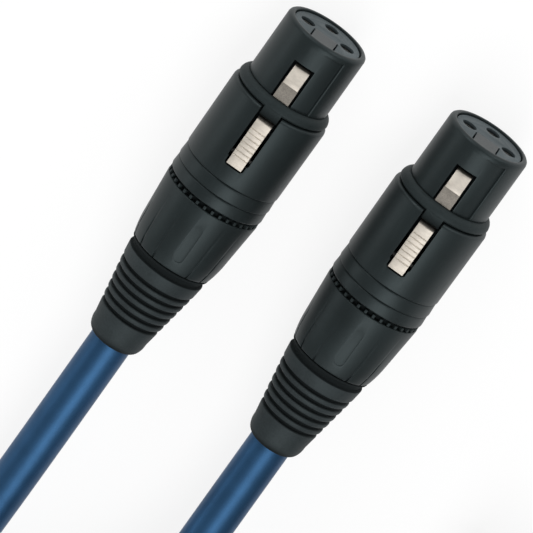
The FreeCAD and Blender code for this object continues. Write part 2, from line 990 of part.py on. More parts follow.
def plug_pieces():
    """Every piece of a plug connector, by name."""
    return {"shell": plug_shell(), "insert": plug_insert(), "pins": plug_pins()}


def left_cable():
    """Centre lines of the left cable: out of the boot, the two lower layers, and to its plug."""
    entry, heading = coil_entry(left_coil_start, left_coil_turned, 0)
    leaving, away = coil_exit(left_coil_start, left_coil_turned, 0)
    plug_x = coil_centre_x - coil_outer_radius
    free = [
        V(left_x, left_nose_y + boot_end, axis_height),
        V(left_x, 60.0, axis_height),
        V(16.9, 84.0, 6.8),
        entry - heading * left_approach,
        entry,
    ]
    tail = [
        leaving,
        leaving + away * left_tail_run,
        V(plug_x, left_plug_boot_y + left_tail_run, axis_height),
        V(plug_x, left_plug_boot_y, axis_height),
    ]
    coil = coil_wire(left_coil_start, left_coil_turned, 0)
    return route_wire(free, "left_cable_free"), coil, route_wire(tail, "left_cable_tail")


def right_cable():
    """Centre lines of the right cable: out of the boot, the two upper layers, and to its plug."""
    entry, heading = coil_entry(right_coil_start, right_coil_turned, 2)
    leaving, away = coil_exit(right_coil_start, right_coil_turned, 2)
    free = [
        V(right_x, right_nose_y + boot_end, axis_height),
        V(right_x, 49.4, axis_height),
        V(right_x, 64.4, 13.3),
        V(-12.9, 78.7, 18.5),
        entry - heading * right_approach,
        entry,
    ]
    first = math.degrees(math.atan2(away.y, away.x))
    last = 270 - tail_end_turn
    plug_height = coil_top + tail_fit + housing_front_radius
    tail = [leaving]
    for i in range(tail_turns + 1):
        turn = math.radians(first + i * (last - first) / tail_turns)
        share = (i + 1) / (tail_turns + 1)
        tail.append(tail[-1] + V(tail_run * math.cos(turn), tail_run * math.sin(turn), 0))
        tail[-1].z = leaving.z + (plug_height - leaving.z) * share ** 2 * (3 - 2 * share)
    tail.append(tail[-1] - V(0, tail_end_run, 0))
    coil = coil_wire(right_coil_start, right_coil_turned, 2)
    return route_wire(free, "right_cable_free"), coil, route_wire(tail, "right_cable_tail")


def hull(spots):
    """The corners of the smallest convex shape round flat points, in order."""
    spots = sorted(set(spots))
    sides = []
    for run in (spots, spots[::-1]):
        side = []
        for p in run:
            while len(side) > 1:
                (ax, ay), (bx, by) = side[-2], side[-1]
                if (bx - ax) * (p[1] - ay) - (by - ay) * (p[0] - ax) > 0:
                    break
                side.pop()
            side.append(p)
        sides += side[:-1]
    return sides


def grown(corners, reach):
    """Convex corners moved outward so that every side lies further out, each corner rounded."""
    moved = []
    for i, (x, y) in enumerate(corners):
        before = corners[i - 1]
        after = corners[(i + 1) % len(corners)]
        first = V(y - before[1], before[0] - x, 0).normalize()
        second = V(after[1] - y, x - after[0], 0).normalize()
        shift = (first + second) * (reach / (1 + first.dot(second)))
        moved.append((x + shift.x, y + shift.y, reach))
    return moved


def bend(corners, i):
    """How far the outline turns at one of its corners, in radians."""
    here = V(*corners[i], 0)
    before = here - V(*corners[i - 1], 0)
    return before.getAngle(V(*corners[(i + 1) % len(corners)], 0) - here)


def tie(angle, lines):
    """A hook-and-loop tie drawn round the cables at an angle of the coil, with its end lapped."""
    turn = math.radians(angle)
    outward = V(math.cos(turn), math.sin(turn), 0)
    forward = V(-math.sin(turn), math.cos(turn), 0)
    centre = V(coil_centre_x, coil_centre_y, 0)
    half = tie_width / 2
    spacing = 0.5
    spots = []
    for line in lines:
        for point in line.discretize(Distance=spacing):
            reach = point - centre
            if abs(reach.dot(forward)) <= half + spacing and reach.dot(outward) > 0:
                spots.append((round(reach.dot(outward), 1), round(point.z, 1)))
    skin = cable_radius + tie_fit

    def band(corners):
        face = outline(corners, lambda out, up: centre + outward * out + V(0, 0, up) - forward * half)
        return face.extrude(forward * tie_width)

    corners = []
    for x, y in hull(spots):
        if not corners or math.hypot(x - corners[-1][0], y - corners[-1][1]) > tie_corner_step:
            corners.append((x, y))
    corners = [c for i, c in enumerate(corners) if bend(corners, i) > tie_least_bend]
    outer = band(grown(corners, skin + tie_thickness))
    loop = outer.cut(band(grown(corners, skin)))
    middle = sum(c[0] for c in corners) / len(corners)
    beyond = max(c[0] for c in corners) + 4 * skin
    lap_zone = band(
        [
            (middle, tie_lap_bottom),
            (beyond, tie_lap_bottom),
            (beyond, tie_lap_top),
            (middle, tie_lap_top),
        ]
    )
    lap = band(grown(corners, skin + 2 * tie_thickness)).common(lap_zone).cut(outer)
    return loop.fuse(lap).removeSplitter()


def check_tube(name, shape, wire):
    """Prints how a tube's volume compares with its section times its length."""
    ideal = math.pi * cable_radius ** 2 * wire.Length
    print(name, "length", round(wire.Length, 1), "volume share", round(shape.Volume / ideal, 4))


def build():
    """Writes every node and prints what the cables' routes measure."""
    left = left_cable()
    right = right_cable()
    rear = rear_half()
    socket = socket_pieces()
    plug = plug_pieces()
    ends = {
        "left": (V(left_x, left_nose_y, axis_height), left),
        "right": (V(right_x, right_nose_y, axis_height), right),
    }
    for side, (place, lines) in ends.items():
        boot_tip = lines[2].Edges[-1].Vertexes[-1].Point
        plug_place = boot_tip - V(0, boot_end, 0)
        for name, shape in list(socket.items()) + list(rear.items()):
            save(side + "_socket_" + name, shape, place)
        for name, shape in list(plug.items()) + list(rear.items()):
            save(side + "_plug_" + name, shape, plug_place)
        for stretch, line in zip(("free", "coil", "tail"), lines):
            name = side + "_cable_" + stretch
            tube = pipe(line, cable_radius)
            check_tube(name, tube, line)
            save(name, tube, V(0, 0, 0))
        total = sum(line.Length for line in lines) + 2 * (boot_end - cable_inner_end)
        print(side, "cable", round(total, 1), "plug at", plug_place)
    for name, angle in (("near_tie", near_tie_angle), ("far_tie", far_tie_angle)):
        save(name, tie(angle, left[1:] + right[1:]), V(0, 0, 0))
    near = 40
    print("left coil gap", least_gap(left[1], left[1], near))
    print("right coil gap", least_gap(right[1], right[1], near))
    print("between the coils", least_gap(left[1], right[1], -1))
    print("free left to right coil", least_gap(left[0], right[1], -1))
    print("free right to left coil", least_gap(right[0], left[1], -1))
    print("left tail to right coil", least_gap(left[2], right[1], -1))
    print("right tail to itself", least_gap(right[2], right[2], near))


build()
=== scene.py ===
"""Dresses a pair of balanced audio cables: socket and plug connectors, jackets, coil and ties.

A connector's pieces are modelled once about its own axis and copied to their places. On that axis
a size is "along" when it is measured from the connector's front face. Sizes are in millimetres
until they are given to Blender, which works in metres.
"""
import json
import math

import bmesh
import bpy
from mathutils import Matrix, Vector

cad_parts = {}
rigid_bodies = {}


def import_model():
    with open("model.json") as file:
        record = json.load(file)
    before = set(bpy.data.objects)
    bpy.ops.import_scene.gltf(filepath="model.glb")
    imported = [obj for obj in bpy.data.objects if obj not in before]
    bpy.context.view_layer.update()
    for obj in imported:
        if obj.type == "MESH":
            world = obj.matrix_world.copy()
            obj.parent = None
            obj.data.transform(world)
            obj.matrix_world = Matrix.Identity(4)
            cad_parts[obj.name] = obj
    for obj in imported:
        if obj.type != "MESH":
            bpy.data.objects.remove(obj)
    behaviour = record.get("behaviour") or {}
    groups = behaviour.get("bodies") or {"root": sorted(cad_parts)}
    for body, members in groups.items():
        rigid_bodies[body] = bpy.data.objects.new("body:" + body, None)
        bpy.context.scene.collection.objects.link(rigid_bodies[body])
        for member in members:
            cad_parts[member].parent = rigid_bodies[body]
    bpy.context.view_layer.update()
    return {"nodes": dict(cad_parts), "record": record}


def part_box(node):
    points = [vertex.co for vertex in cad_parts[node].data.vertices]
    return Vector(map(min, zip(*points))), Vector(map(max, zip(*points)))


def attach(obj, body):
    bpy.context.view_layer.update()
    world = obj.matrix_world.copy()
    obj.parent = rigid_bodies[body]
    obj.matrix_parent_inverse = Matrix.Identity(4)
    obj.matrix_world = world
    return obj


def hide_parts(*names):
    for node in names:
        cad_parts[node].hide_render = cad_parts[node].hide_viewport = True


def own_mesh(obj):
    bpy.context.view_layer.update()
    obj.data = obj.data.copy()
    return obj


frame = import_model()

bl_info = {
    "name": "Audio cable pair",
    "version": (1, 0, 0),
    "blender": (4, 5, 0),
    "location": "View3D > Sidebar > Cable pair",
    "description": "Models the connectors, jackets and ties of a coiled pair of audio cables",
    "category": "Object",
}

MM = 0.001
SIDES = ("left", "right")
MAIN_BODY = "cables"

# The ring of corners round every turned piece
RING_CORNERS = 128

# The name under which a piece keeps how much painted shade each point gets, mostly where its
# surface lies in a recess
SHADE_MARK = "recess"

# The cool cast of the gloss on black enamel, plastic and rubber
GLOSS_TINT = (0.8, 0.97, 1.0)

# Colours of parts inside the connectors
STEEL = (0.16, 0.16, 0.16)
CHUCK_GREY = (0.1, 0.1, 0.11)
WIRE_WHITE = (0.62, 0.6, 0.55)

# Sizes that several pieces share, as in the model that the frame was packed from
CABLE_RADIUS = 3.9
HOUSING_END = 35.5
BUSHING_FRONT = 36.5
BUSHING_END = 49.6
BOOT_END = 69.0
BORE_RADIUS = 7.75
CONTACTS = ((4.1, 0), (-4.1, 0), (0, -4.1))
NOSE_END = 12.7
PIN_ALONG = 25.4
PIN_HEIGHT = 6.2

# Points nearer to each other than this, in millimetres, are one
SAME_POINT = 0.0005


# ---------------------------------------------------------------- settings


class CableSettings(bpy.types.PropertyGroup):
    """What a user would change on the jacketed cables."""

    diameter: bpy.props.FloatProperty(
        name="Diameter", description="Outer diameter of the jacket", default=0.0078, unit="LENGTH"
    )
    length: bpy.props.FloatProperty(
        name="Length", description="Length of one cable outside its connectors", default=0.745,
        unit="LENGTH",
    )
    colour: bpy.props.FloatVectorProperty(
        name="Jacket colour", description="Colour of the satin jacket", subtype="COLOR",
        default=(0.0225, 0.073, 0.155),
    )
    roughness: bpy.props.FloatProperty(
        name="Jacket roughness", description="How wide the jacket's highlight is", default=0.48,
        subtype="FACTOR", min=0, max=1,
    )


class ConnectorSettings(bpy.types.PropertyGroup):
    """What a user would change on the connectors."""

    edge: bpy.props.FloatProperty(
        name="Edge rounding", description="Width of the small rounding on cut edges",
        default=0.00009, unit="LENGTH",
    )
    housing: bpy.props.FloatVectorProperty(
        name="Housing colour", description="Colour of the satin enamel", subtype="COLOR",
        default=(0.0075, 0.0105, 0.011),
    )
    trim: bpy.props.FloatVectorProperty(
        name="Trim colour", description="Colour of the matte rings", subtype="COLOR",
        default=(0.009, 0.0125, 0.013),
    )
    insert: bpy.props.FloatVectorProperty(
        name="Insert colour", description="Colour of the plastic core", subtype="COLOR",
        default=(0.048, 0.06, 0.065),
    )
    rubber: bpy.props.FloatVectorProperty(
        name="Boot colour", description="Colour of the rubber bend relief", subtype="COLOR",
        default=(0.017, 0.0212, 0.0225),
    )
    nickel: bpy.props.FloatVectorProperty(
        name="Latch colour", description="Colour of the nickel latch", subtype="COLOR",
        default=(0.64, 0.595, 0.53),
    )
    silver: bpy.props.FloatVectorProperty(
        name="Contact colour", description="Colour of the silvered contacts", subtype="COLOR",
        default=(0.8, 0.78, 0.73),
    )


class TieSettings(bpy.types.PropertyGroup):
    """What a user would change on the two ties."""

    width: bpy.props.FloatProperty(
        name="Width", description="Width of the tape", default=0.012, unit="LENGTH"
    )
    thickness: bpy.props.FloatProperty(
        name="Thickness", description="Thickness of the tape", default=0.0008, unit="LENGTH"
    )
    colour: bpy.props.FloatVectorProperty(
        name="Tape colour", description="Colour of the woven tape", subtype="COLOR",
        default=(0.012, 0.012, 0.014),
    )


class StageSettings(bpy.types.PropertyGroup):
    """The floor, the lamps and the camera."""

    floor: bpy.props.FloatVectorProperty(
        name="Floor colour", description="Colour of the floor", subtype="COLOR",
        default=(0.97, 0.97, 0.97),
    )
    key: bpy.props.FloatProperty(
        name="Key lamp", description="Power of the large lamp overhead", default=2.4, unit="POWER"
    )
    fill: bpy.props.FloatProperty(
        name="Fill lamp", description="Power of the low lamp at one side", default=0.6,
        unit="POWER",
    )
    front: bpy.props.FloatProperty(
        name="Front lamps", description="Power of each low lamp before the sockets", default=1.2,
        unit="POWER",
    )
    rear: bpy.props.FloatProperty(
        name="Rear lamp", description="Power of the long lamp behind the sockets", default=0.5,
        unit="POWER",
    )
    sky: bpy.props.FloatProperty(
        name="Sky level", description="Strength of the even light from all round", default=0.34
    )
    haze: bpy.props.FloatProperty(
        name="Floor haze", description="How far the floor is lifted to white where it is seen",
        default=0.85, subtype="FACTOR", min=0, max=1,
    )
    lens: bpy.props.FloatProperty(
        name="Lens", description="Focal length of the camera", default=580, unit="CAMERA"
    )


# ---------------------------------------------------------------- materials


class Level:
    """A value in a material, on which Python's arithmetic adds Math nodes."""

    def __init__(self, finish, socket):
        self.finish = finish
        self.socket = socket

    def maths(self, operation, *terms):
        """One Math node on values and numbers."""
        inputs = dict(enumerate(terms))
        return self.finish.node("ShaderNodeMath", {"operation": operation}, inputs)

    def __add__(self, other):
        return self.maths("ADD", self, other)

    def __sub__(self, other):
        return self.maths("SUBTRACT", self, other)

    def __rsub__(self, other):
        return self.maths("SUBTRACT", other, self)

    def __mul__(self, other):
        return self.maths("MULTIPLY", self, other)

    __radd__ = __add__
    __rmul__ = __mul__

    def rise(self, low, high):
        """From 0 at low to 1 at high, smooth and held beyond them."""
        settings = {"interpolation_type": "SMOOTHSTEP"}
        inputs = {"Value": self, "From Min": low, "From Max": high}
        return self.finish.node("ShaderNodeMapRange", settings, inputs)


class Finish:
    """A material with one shader and the nodes that feed it."""

    def __init__(self, name, **constants):
        self.material = bpy.data.materials.new(name)
        self.material.use_nodes = True
        self.tree = self.material.node_tree
        self.tree.nodes.clear()
        self.output = self.tree.nodes.new("ShaderNodeOutputMaterial")
        self.shader = self.tree.nodes.new("ShaderNodeBsdfPrincipled")
        self.tree.links.new(self.shader.outputs[0], self.output.inputs["Surface"])
        self.feed(**constants)

    def feed(self, **inputs):
        """Gives the shader's inputs a value or a link; an underscore stands for a space."""
        for name, value in inputs.items():
            self.fill(self.shader.inputs[name.replace("_", " ")], value)

    def fill(self, socket, value):
        """Gives one input a link or a value; a colour may come without its alpha."""
        if isinstance(value, Level):
            self.tree.links.new(value.socket, socket)
        elif hasattr(value, "__len__") and len(socket.default_value) > len(value):
            socket.default_value = (*value, 1)
        else:
            socket.default_value = value

    def node(self, kind, settings=None, inputs=None, output=0):
        """Adds a node: its settings first, then its inputs, and gives back one output."""
        made = self.tree.nodes.new(kind)
        for name, value in (settings or {}).items():
            setattr(made, name, value)
        for name, value in (inputs or {}).items():
            self.fill(self.socket(made.inputs, name), value)
        return Level(self, self.socket(made.outputs, output))

    def socket(self, sockets, key):
        """A node's socket that is in use, by its name or by its place in the list."""
        if isinstance(key, int):
            return sockets[key]
        return next(s for s in sockets if s.name == key and s.enabled)

    def place(self, scale=(1, 1, 1)):
        """The place on the object, stretched by a scale along each axis."""
        here = self.node("ShaderNodeTexCoord", output="Object")
        return self.node("ShaderNodeMapping", None, {"Vector": here, "Scale": scale})

    def noise(self, size, detail=3, stretch=(1, 1, 1), rough=0.5):
        """Noise from 0 to 1 whose grains are about as large as size, in millimetres."""
        inputs = {
            "Vector": self.place(stretch),
            "Scale": 1 / (size * MM),
            "Detail": detail,
            "Roughness": rough,
        }
        return self.node("ShaderNodeTexNoise", None, inputs)

    def cells(self, size):
        """Distance from the middle of cells that are about as large as size, in millimetres."""
        inputs = {"Vector": self.place(), "Scale": 1 / (size * MM)}
        return self.node("ShaderNodeTexVoronoi", {"feature": "F1"}, inputs)

    def mix(self, share, first, second):
        """A colour between two colours."""
        inputs = {"Factor": share, "A": first, "B": second}
        return self.node("ShaderNodeMix", {"data_type": "RGBA"}, inputs, "Result")

    def recess(self):
        """How much painted shade the surface gets, from 0 to 1, as the piece itself was marked."""
        return self.node("ShaderNodeAttribute", {"attribute_name": SHADE_MARK}, None, "Fac")

    def whiten(self, share):
        """Lifts the surface towards white where the camera or a mirror sees it."""
        rays = ("Is Camera Ray", "Is Glossy Ray", "Is Transmission Ray")
        seen = sum(self.node("ShaderNodeLightPath", output=ray) for ray in rays)
        glow = self.node("ShaderNodeEmission", None, {"Color": (1, 1, 1)})
        plain = Level(self, self.shader.outputs[0])
        blend = self.node("ShaderNodeMixShader", None, {0: seen * share, 1: plain, 2: glow})
        self.tree.links.new(blend.socket, self.output.inputs["Surface"])

    def bump(self, height, depth, strength=1.0, base=None):
        """A normal from a height; depth is in millimetres."""
        inputs = {"Height": height, "Distance": depth * MM, "Strength": strength}
        if base:
            inputs["Normal"] = base
        return self.node("ShaderNodeBump", None, inputs)


def shade(colour, factor):
    """A colour made darker or lighter."""
    return tuple(min(1, c * factor) for c in colour)


def enamel(name, colour, roughness=0.43, specular=0.31):
    """Satin enamel on die-cast metal, with fine peel, a few matte handling marks, and painted
    shade where the piece is marked.
    """
    finish = Finish(name, Specular_IOR_Level=specular, Specular_Tint=GLOSS_TINT)
    cloud = finish.noise(size=9, detail=2)
    grain = finish.noise(size=0.35, detail=2)
    peel = finish.noise(size=0.9)
    rub = finish.noise(size=1.4, detail=4, stretch=(3.2, 0.5, 3.2), rough=0.62).rise(0.56, 0.72)
    tone = cloud.rise(0.3, 0.7) * 0.6 + grain * 0.4
    painted_shade = finish.recess()
    colours = finish.mix(tone, shade(colour, 0.82), shade(colour, 1.22))
    colours = finish.mix(rub * 0.35, colours, shade(colour, 1.9))
    # Where the piece is marked, the colour darkens towards black as painted shade
    finish.feed(
        Base_Color=finish.mix(painted_shade, colours, shade(colour, 0.3)),
        Roughness=roughness - 0.04 + cloud * 0.05 + grain * 0.05 + rub * 0.07 + painted_shade * 0.35,
        Normal=finish.bump(
            grain, depth=0.012, strength=0.55, base=finish.bump(peel, depth=0.02, strength=0.35)
        ),
    )
    return finish.material


def moulded(name, colour, roughness=0.55, grain_size=0.22, depth=0.02, specular=0.3):
    """Moulded plastic or rubber with a fine even grain, darkened with painted shade where the
    piece is marked.
    """
    finish = Finish(name, Specular_IOR_Level=specular, Specular_Tint=GLOSS_TINT)
    cloud = finish.noise(size=6)
    grain = finish.noise(size=grain_size, rough=0.6)
    pits = finish.cells(size=grain_size * 1.8)
    tone = cloud * 0.5 + grain * 0.5
    painted_shade = finish.recess()
    colours = finish.mix(tone.rise(0.3, 0.7), shade(colour, 0.75), shade(colour, 1.3))
    # Where the piece is marked, the colour darkens towards black as painted shade
    finish.feed(
        Base_Color=finish.mix(painted_shade, colours, shade(colour, 0.25)),
        Roughness=roughness - 0.06 + cloud * 0.06 + grain * 0.08 + painted_shade * 0.35,
        Normal=finish.bump(grain * 0.7 + pits * 0.3, depth, strength=0.6),
    )
    return finish.material


def brushed(name, colour, roughness, stretch=(0.12, 1, 1), shade_level=0.1):
    """Plated metal, finely brushed, with faint tarnish and, where the piece is marked, speckled
    painted shade; the last argument is how dark that painted shade is.
    """
    finish = Finish(name, Metallic=1.0)
    lines = finish.noise(size=0.09, detail=2, stretch=stretch)
    cloud = finish.noise(size=1.6)
    speck = finish.noise(size=0.16, detail=2)
    tone = finish.mix(cloud.rise(0.3, 0.75), shade(colour, 0.9), shade(colour, 1.06))
    tone = finish.mix(lines.rise(0.35, 0.75) * 0.35, tone, shade(colour, 0.72))
    painted_shade = finish.recess()
    # Speckled painted shade where the piece is marked
    patch = painted_shade * (0.75 + 0.25 * speck.rise(0.3, 0.7))
    finish.feed(
        Base_Color=finish.mix(patch, tone, shade(colour, shade_level)),
        Roughness=roughness + lines * 0.1 + cloud * 0.06 + painted_shade * 0.2,
        Normal=finish.bump(lines, depth=0.004, strength=0.5),
    )
    return finish.material


def jacket(name, colour, roughness):
    """Satin, slightly pearly cable jacket, with the faint lay of the cores under it."""
    finish = Finish(name, Metallic=0.82, Specular_IOR_Level=0.4)
    flakes = finish.noise(size=0.12, detail=2)
    cloud = finish.noise(size=7, detail=2)
    lay = finish.noise(size=3.4, detail=2)
    tone = finish.mix(cloud.rise(0.3, 0.7), shade(colour, 0.9), shade(colour, 1.1))
    finish.feed(
        Base_Color=finish.mix(flakes.rise(0.45, 0.75) * 0.4, tone, shade(colour, 1.45)),
        Roughness=roughness - 0.03 + flakes * 0.06,
        Normal=finish.bump(
            lay, depth=0.05, strength=0.5, base=finish.bump(flakes, depth=0.004, strength=0.5)
        ),
    )
    return finish.material


def tape(name, colour):
    """Woven hook-and-loop tape: small knots of the weave under a haze of fine loops."""
    finish = Finish(name, Specular_IOR_Level=0.15, Sheen_Weight=0.25, Sheen_Roughness=0.5)
    loops = finish.noise(size=0.28, detail=4, rough=0.75)
    weave = finish.cells(size=0.5)
    tone = loops * 0.6 + (1 - weave) * 0.4
    finish.feed(
        Base_Color=finish.mix(tone.rise(0.3, 0.75), shade(colour, 0.55), shade(colour, 2.4)),
        Roughness=0.85 + loops * 0.12,
        Normal=finish.bump(loops * 0.5 + (1 - weave) * 0.5, depth=0.22, strength=0.9),
    )
    return finish.material


made_finishes = {}


def finish_for(slot):
    """The material of one of the record's slots, made when it is first asked for."""
    connector = bpy.context.scene.cable_pair_connectors
    cable = bpy.context.scene.cable_pair_cables
    tie = bpy.context.scene.cable_pair_ties
    makers = {
        "black_housing": lambda n: enamel(n, connector.housing),
        "black_trim": lambda n: moulded(
            n, connector.trim, roughness=0.62, grain_size=0.4, depth=0.09
        ),
        "insert_plastic": lambda n: moulded(
            n, connector.insert, roughness=0.55, grain_size=0.25, depth=0.03
        ),
        "silvered_contact": lambda n: brushed(
            n, connector.silver, roughness=0.22, stretch=(1, 0.1, 1), shade_level=0.05
        ),
        "nickel_latch": lambda n: brushed(n, connector.nickel, roughness=0.55),
        "plain_steel": lambda n: brushed(n, STEEL, roughness=0.4),
        "chuck_plastic": lambda n: moulded(n, CHUCK_GREY),
        "bushing_plastic": lambda n: moulded(
            n, connector.housing, roughness=0.44, grain_size=0.16, depth=0.01
        ),
        "boot_rubber": lambda n: moulded(
            n, connector.rubber, roughness=0.6, grain_size=0.35, depth=0.07
        ),
        "blue_jacket": lambda n: jacket(n, cable.colour, cable.roughness),
        "wire_insulation": lambda n: moulded(
            n, WIRE_WHITE, roughness=0.4, grain_size=0.2, depth=0.005
        ),
        "tie_fabric": lambda n: tape(n, tie.colour),
    }
    if slot not in made_finishes:
        made_finishes[slot] = makers[slot](slot)
    return made_finishes[slot]


# ---------------------------------------------------------------- modelling


def only(piece):
    """Leaves one piece selected and active, in object mode."""
    if bpy.context.mode != "OBJECT":
        bpy.ops.object.mode_set(mode="OBJECT")
    bpy.ops.object.select_all(action="DESELECT")
    piece.select_set(True)
    bpy.context.view_layer.objects.active = piece


def begin(shape, name, **sizes):
    """Adds a primitive at its size and place, with nothing else selected."""
    if bpy.context.mode != "OBJECT":
        bpy.ops.object.mode_set(mode="OBJECT")
    bpy.ops.object.select_all(action="DESELECT")
    getattr(bpy.ops.mesh, "primitive_" + shape + "_add")(**sizes)
    piece = bpy.context.active_object
    piece.name = name
    piece.data.name = name
    bpy.ops.object.transform_apply(location=True, rotation=True, scale=True)
    return piece


def edit(piece, kind):
    """Opens a piece in edit mode, to pick vertices, edges or faces."""
    only(piece)
    bpy.ops.object.mode_set(mode="EDIT")
    bpy.ops.mesh.select_mode(type=kind)


def pick(piece, kind, test):
    """Selects the edges or faces whose corners, in millimetres, all pass a test."""
    bpy.ops.mesh.select_all(action="DESELECT")
    mesh = bmesh.from_edit_mesh(piece.data)
    for item in {"EDGE": mesh.edges, "FACE": mesh.faces}[kind]:
        if all(test(*(c / MM for c in corner.co)) for corner in item.verts):
            item.select_set(True)
    bmesh.update_edit_mesh(piece.data)


def close_up():
    """Merges doubles in the open piece, turns its faces outwards and leaves edit mode."""
    bpy.ops.mesh.select_all(action="SELECT")
    bpy.ops.mesh.remove_doubles(threshold=SAME_POINT * MM)
    bpy.ops.mesh.normals_make_consistent(inside=False)
    bpy.ops.object.mode_set(mode="OBJECT")


def turned(name, corners, tube=True, ring=RING_CORNERS, steps=3):
    """Extrudes a ring through corners of (along, radius, rounding) and rounds those corners."""
    along, radius = corners[0][:2]
    piece = begin(
        "circle", name, vertices=ring, radius=radius * MM, location=(0, along * MM, 0),
        rotation=(math.radians(90), 0, 0),
    )
    edit(piece, "EDGE")
    bpy.ops.mesh.select_all(action="SELECT")
    path = [c[:2] for c in corners] + ([corners[0][:2]] if tube else [])
    for (start, before), (end, after) in zip(path, path[1:]):
        step = (0, (end - start) * MM, 0)
        bpy.ops.mesh.extrude_region_move(TRANSFORM_OT_translate={"value": step})
        if after != before:
            size = after / before
            bpy.ops.transform.resize(value=(size, 1, size), center_override=(0, end * MM, 0))

    def on_ring(place, size, near=0.002):
        return lambda x, y, z: abs(y - place) < near and abs(math.hypot(x, z) - size) < near

    for end in () if tube else (corners[0], corners[-1]):
        pick(piece, "EDGE", on_ring(*end[:2]))
        bpy.ops.mesh.edge_face_add()
    bpy.ops.mesh.select_all(action="SELECT")
    bpy.ops.mesh.remove_doubles(threshold=SAME_POINT * MM)
    for corner in corners:
        if len(corner) > 2:
            pick(piece, "EDGE", on_ring(*corner[:2]))
            bpy.ops.mesh.bevel(offset=corner[2] * MM, segments=steps, affect="EDGES")
    close_up()
    return piece


def cut_out(name, corners, span, across="X"):
    """A flat outline of corners, pulled through a span.

    Across X the corners are (along, height). Across Z they are (x, along).
    """
    low, high = span
    spots = [(low, a, b) if across == "X" else (a, b, low) for a, b in corners]
    centre = sum((Vector(s) for s in spots), Vector()) / len(spots)
    turn = (0, math.radians(90), 0) if across == "X" else (0, 0, 0)
    piece = begin(
        "circle", name, vertices=len(corners), radius=MM, fill_type="NGON", rotation=turn,
        location=tuple(centre * MM),
    )
    edit(piece, "VERT")
    for i, spot in enumerate(spots):
        bpy.ops.mesh.select_all(action="DESELECT")
        mesh = bmesh.from_edit_mesh(piece.data)
        mesh.verts.ensure_lookup_table()
        mesh.verts[i].select_set(True)
        shift = Vector(spot) * MM - mesh.verts[i].co
        bmesh.update_edit_mesh(piece.data)
        bpy.ops.transform.translate(value=tuple(shift))
    bpy.ops.mesh.select_mode(type="FACE")
    bpy.ops.mesh.select_all(action="SELECT")
    reach = (high - low) * MM
    step = (reach, 0, 0) if across == "X" else (0, 0, reach)
    bpy.ops.mesh.extrude_region_move(TRANSFORM_OT_translate={"value": step})
    close_up()
    return piece


def rod(name, radius, front, end, x, z):
    """A round bar that runs as the connector's axis does."""
    return begin(
        "cylinder", name, vertices=48, radius=radius * MM, depth=(end - front) * MM,
        location=(x * MM, (front + end) / 2 * MM, z * MM), rotation=(math.radians(90), 0, 0),
    )


def cross_rod(radius, width):
    """A round bar where the latch's pin crosses the connector."""
    return begin(
        "cylinder", "cross_rod", vertices=32, radius=radius * MM, depth=width * MM,
        location=(0, PIN_ALONG * MM, PIN_HEIGHT * MM), rotation=(0, math.radians(90), 0),
    )


def round_corners(piece, test, rounding, steps=4):
    """Rounds the edges whose two ends pass a test."""
    edit(piece, "EDGE")
    pick(piece, "EDGE", test)
    bpy.ops.mesh.bevel(offset=rounding * MM, segments=steps, affect="EDGES")
    bpy.ops.object.mode_set(mode="OBJECT")


def apply(piece, kind, **settings):
    """Adds a modifier and applies it."""
    only(piece)
    change = piece.modifiers.new(kind.lower(), kind)
    for name, value in settings.items():
        setattr(change, name, value)
    bpy.ops.object.modifier_apply(modifier=change.name)


def carve(piece, *tools, operation="DIFFERENCE"):
    """Cuts the tools out of a piece, or joins them to it, and removes them."""
    for tool in tools:
        apply(piece, "BOOLEAN", object=tool, operation=operation, solver="EXACT")
        bpy.data.objects.remove(tool)
    edit(piece, "VERT")
    close_up()


def copy_of(model):
    """A copy with a mesh of its own."""
    only(model)
    bpy.ops.object.duplicate(linked=False)
    return bpy.context.active_object


def put(piece, place=(0, 0, 0), angle=0):
    """Moves a piece, or turns it about the connector's axis, and keeps that in its mesh."""
    piece.location = place
    piece.rotation_euler = (0, math.radians(angle), 0)
    only(piece)
    bpy.ops.object.transform_apply(location=True, rotation=True, scale=False)


def three_of(contact):
    """Copies a contact with its solder cup to the three places and joins the copies."""
    carve(contact, cut_out("cup", [(22, 0.425), (26, 0.425), (26, 3), (22, 3)], (-2, 2)))
    contacts = [contact] + [copy_of(contact) for _ in CONTACTS[1:]]
    for piece, (x, z) in zip(contacts, CONTACTS):
        put(piece, (x * MM, 0, z * MM))
    only(contact)
    for piece in contacts[1:]:
        piece.select_set(True)
    bpy.ops.object.join()
    soften(contact, 0)


def soften(piece, width=None, steps=2, angle=38):
    """Rounds edges sharper than an angle a little and shades the piece smooth."""
    if width is None:
        width = bpy.context.scene.cable_pair_connectors.edge
    if width:
        apply(
            piece, "BEVEL", width=width, segments=steps, limit_method="ANGLE",
            angle_limit=math.radians(angle), use_clamp_overlap=True,
        )
    only(piece)
    bpy.ops.object.shade_smooth_by_angle(angle=math.radians(angle + 4))


def mark(piece, rule):
    """Keeps on a piece how much painted shade each point gets, from a rule on places in
    millimetres.
    """
    only(piece)
    depths = piece.data.attributes.new(SHADE_MARK, "FLOAT", "POINT")
    for vertex, depth in zip(piece.data.vertices, depths.data):
        depth.value = rule(*(c / MM for c in vertex.co))


def seat(node):
    """The middle of a connector's front face, from the node that has that face."""
    low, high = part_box(node)
    return Vector(((low.x + high.x) / 2, low.y, (low.z + high.z) / 2))


def dress(piece, slot, body, nodes):
    """Gives a finished piece the material of its slot and its body, and hides the nodes that it
    stands for.
    """
    piece.data.materials.clear()
    piece.data.materials.append(finish_for(slot))
    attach(piece, body)
    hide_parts(*nodes)


def spread(model, spots, slot):
    """Copies a model to its places; each spot is (name, place, body, nodes)."""
    for name, place, body, nodes in spots:
        piece = copy_of(model)
        piece.name = name
        piece.data.name = name
        put(piece, place)
        dress(piece, slot, body, nodes)
    bpy.data.objects.remove(model)


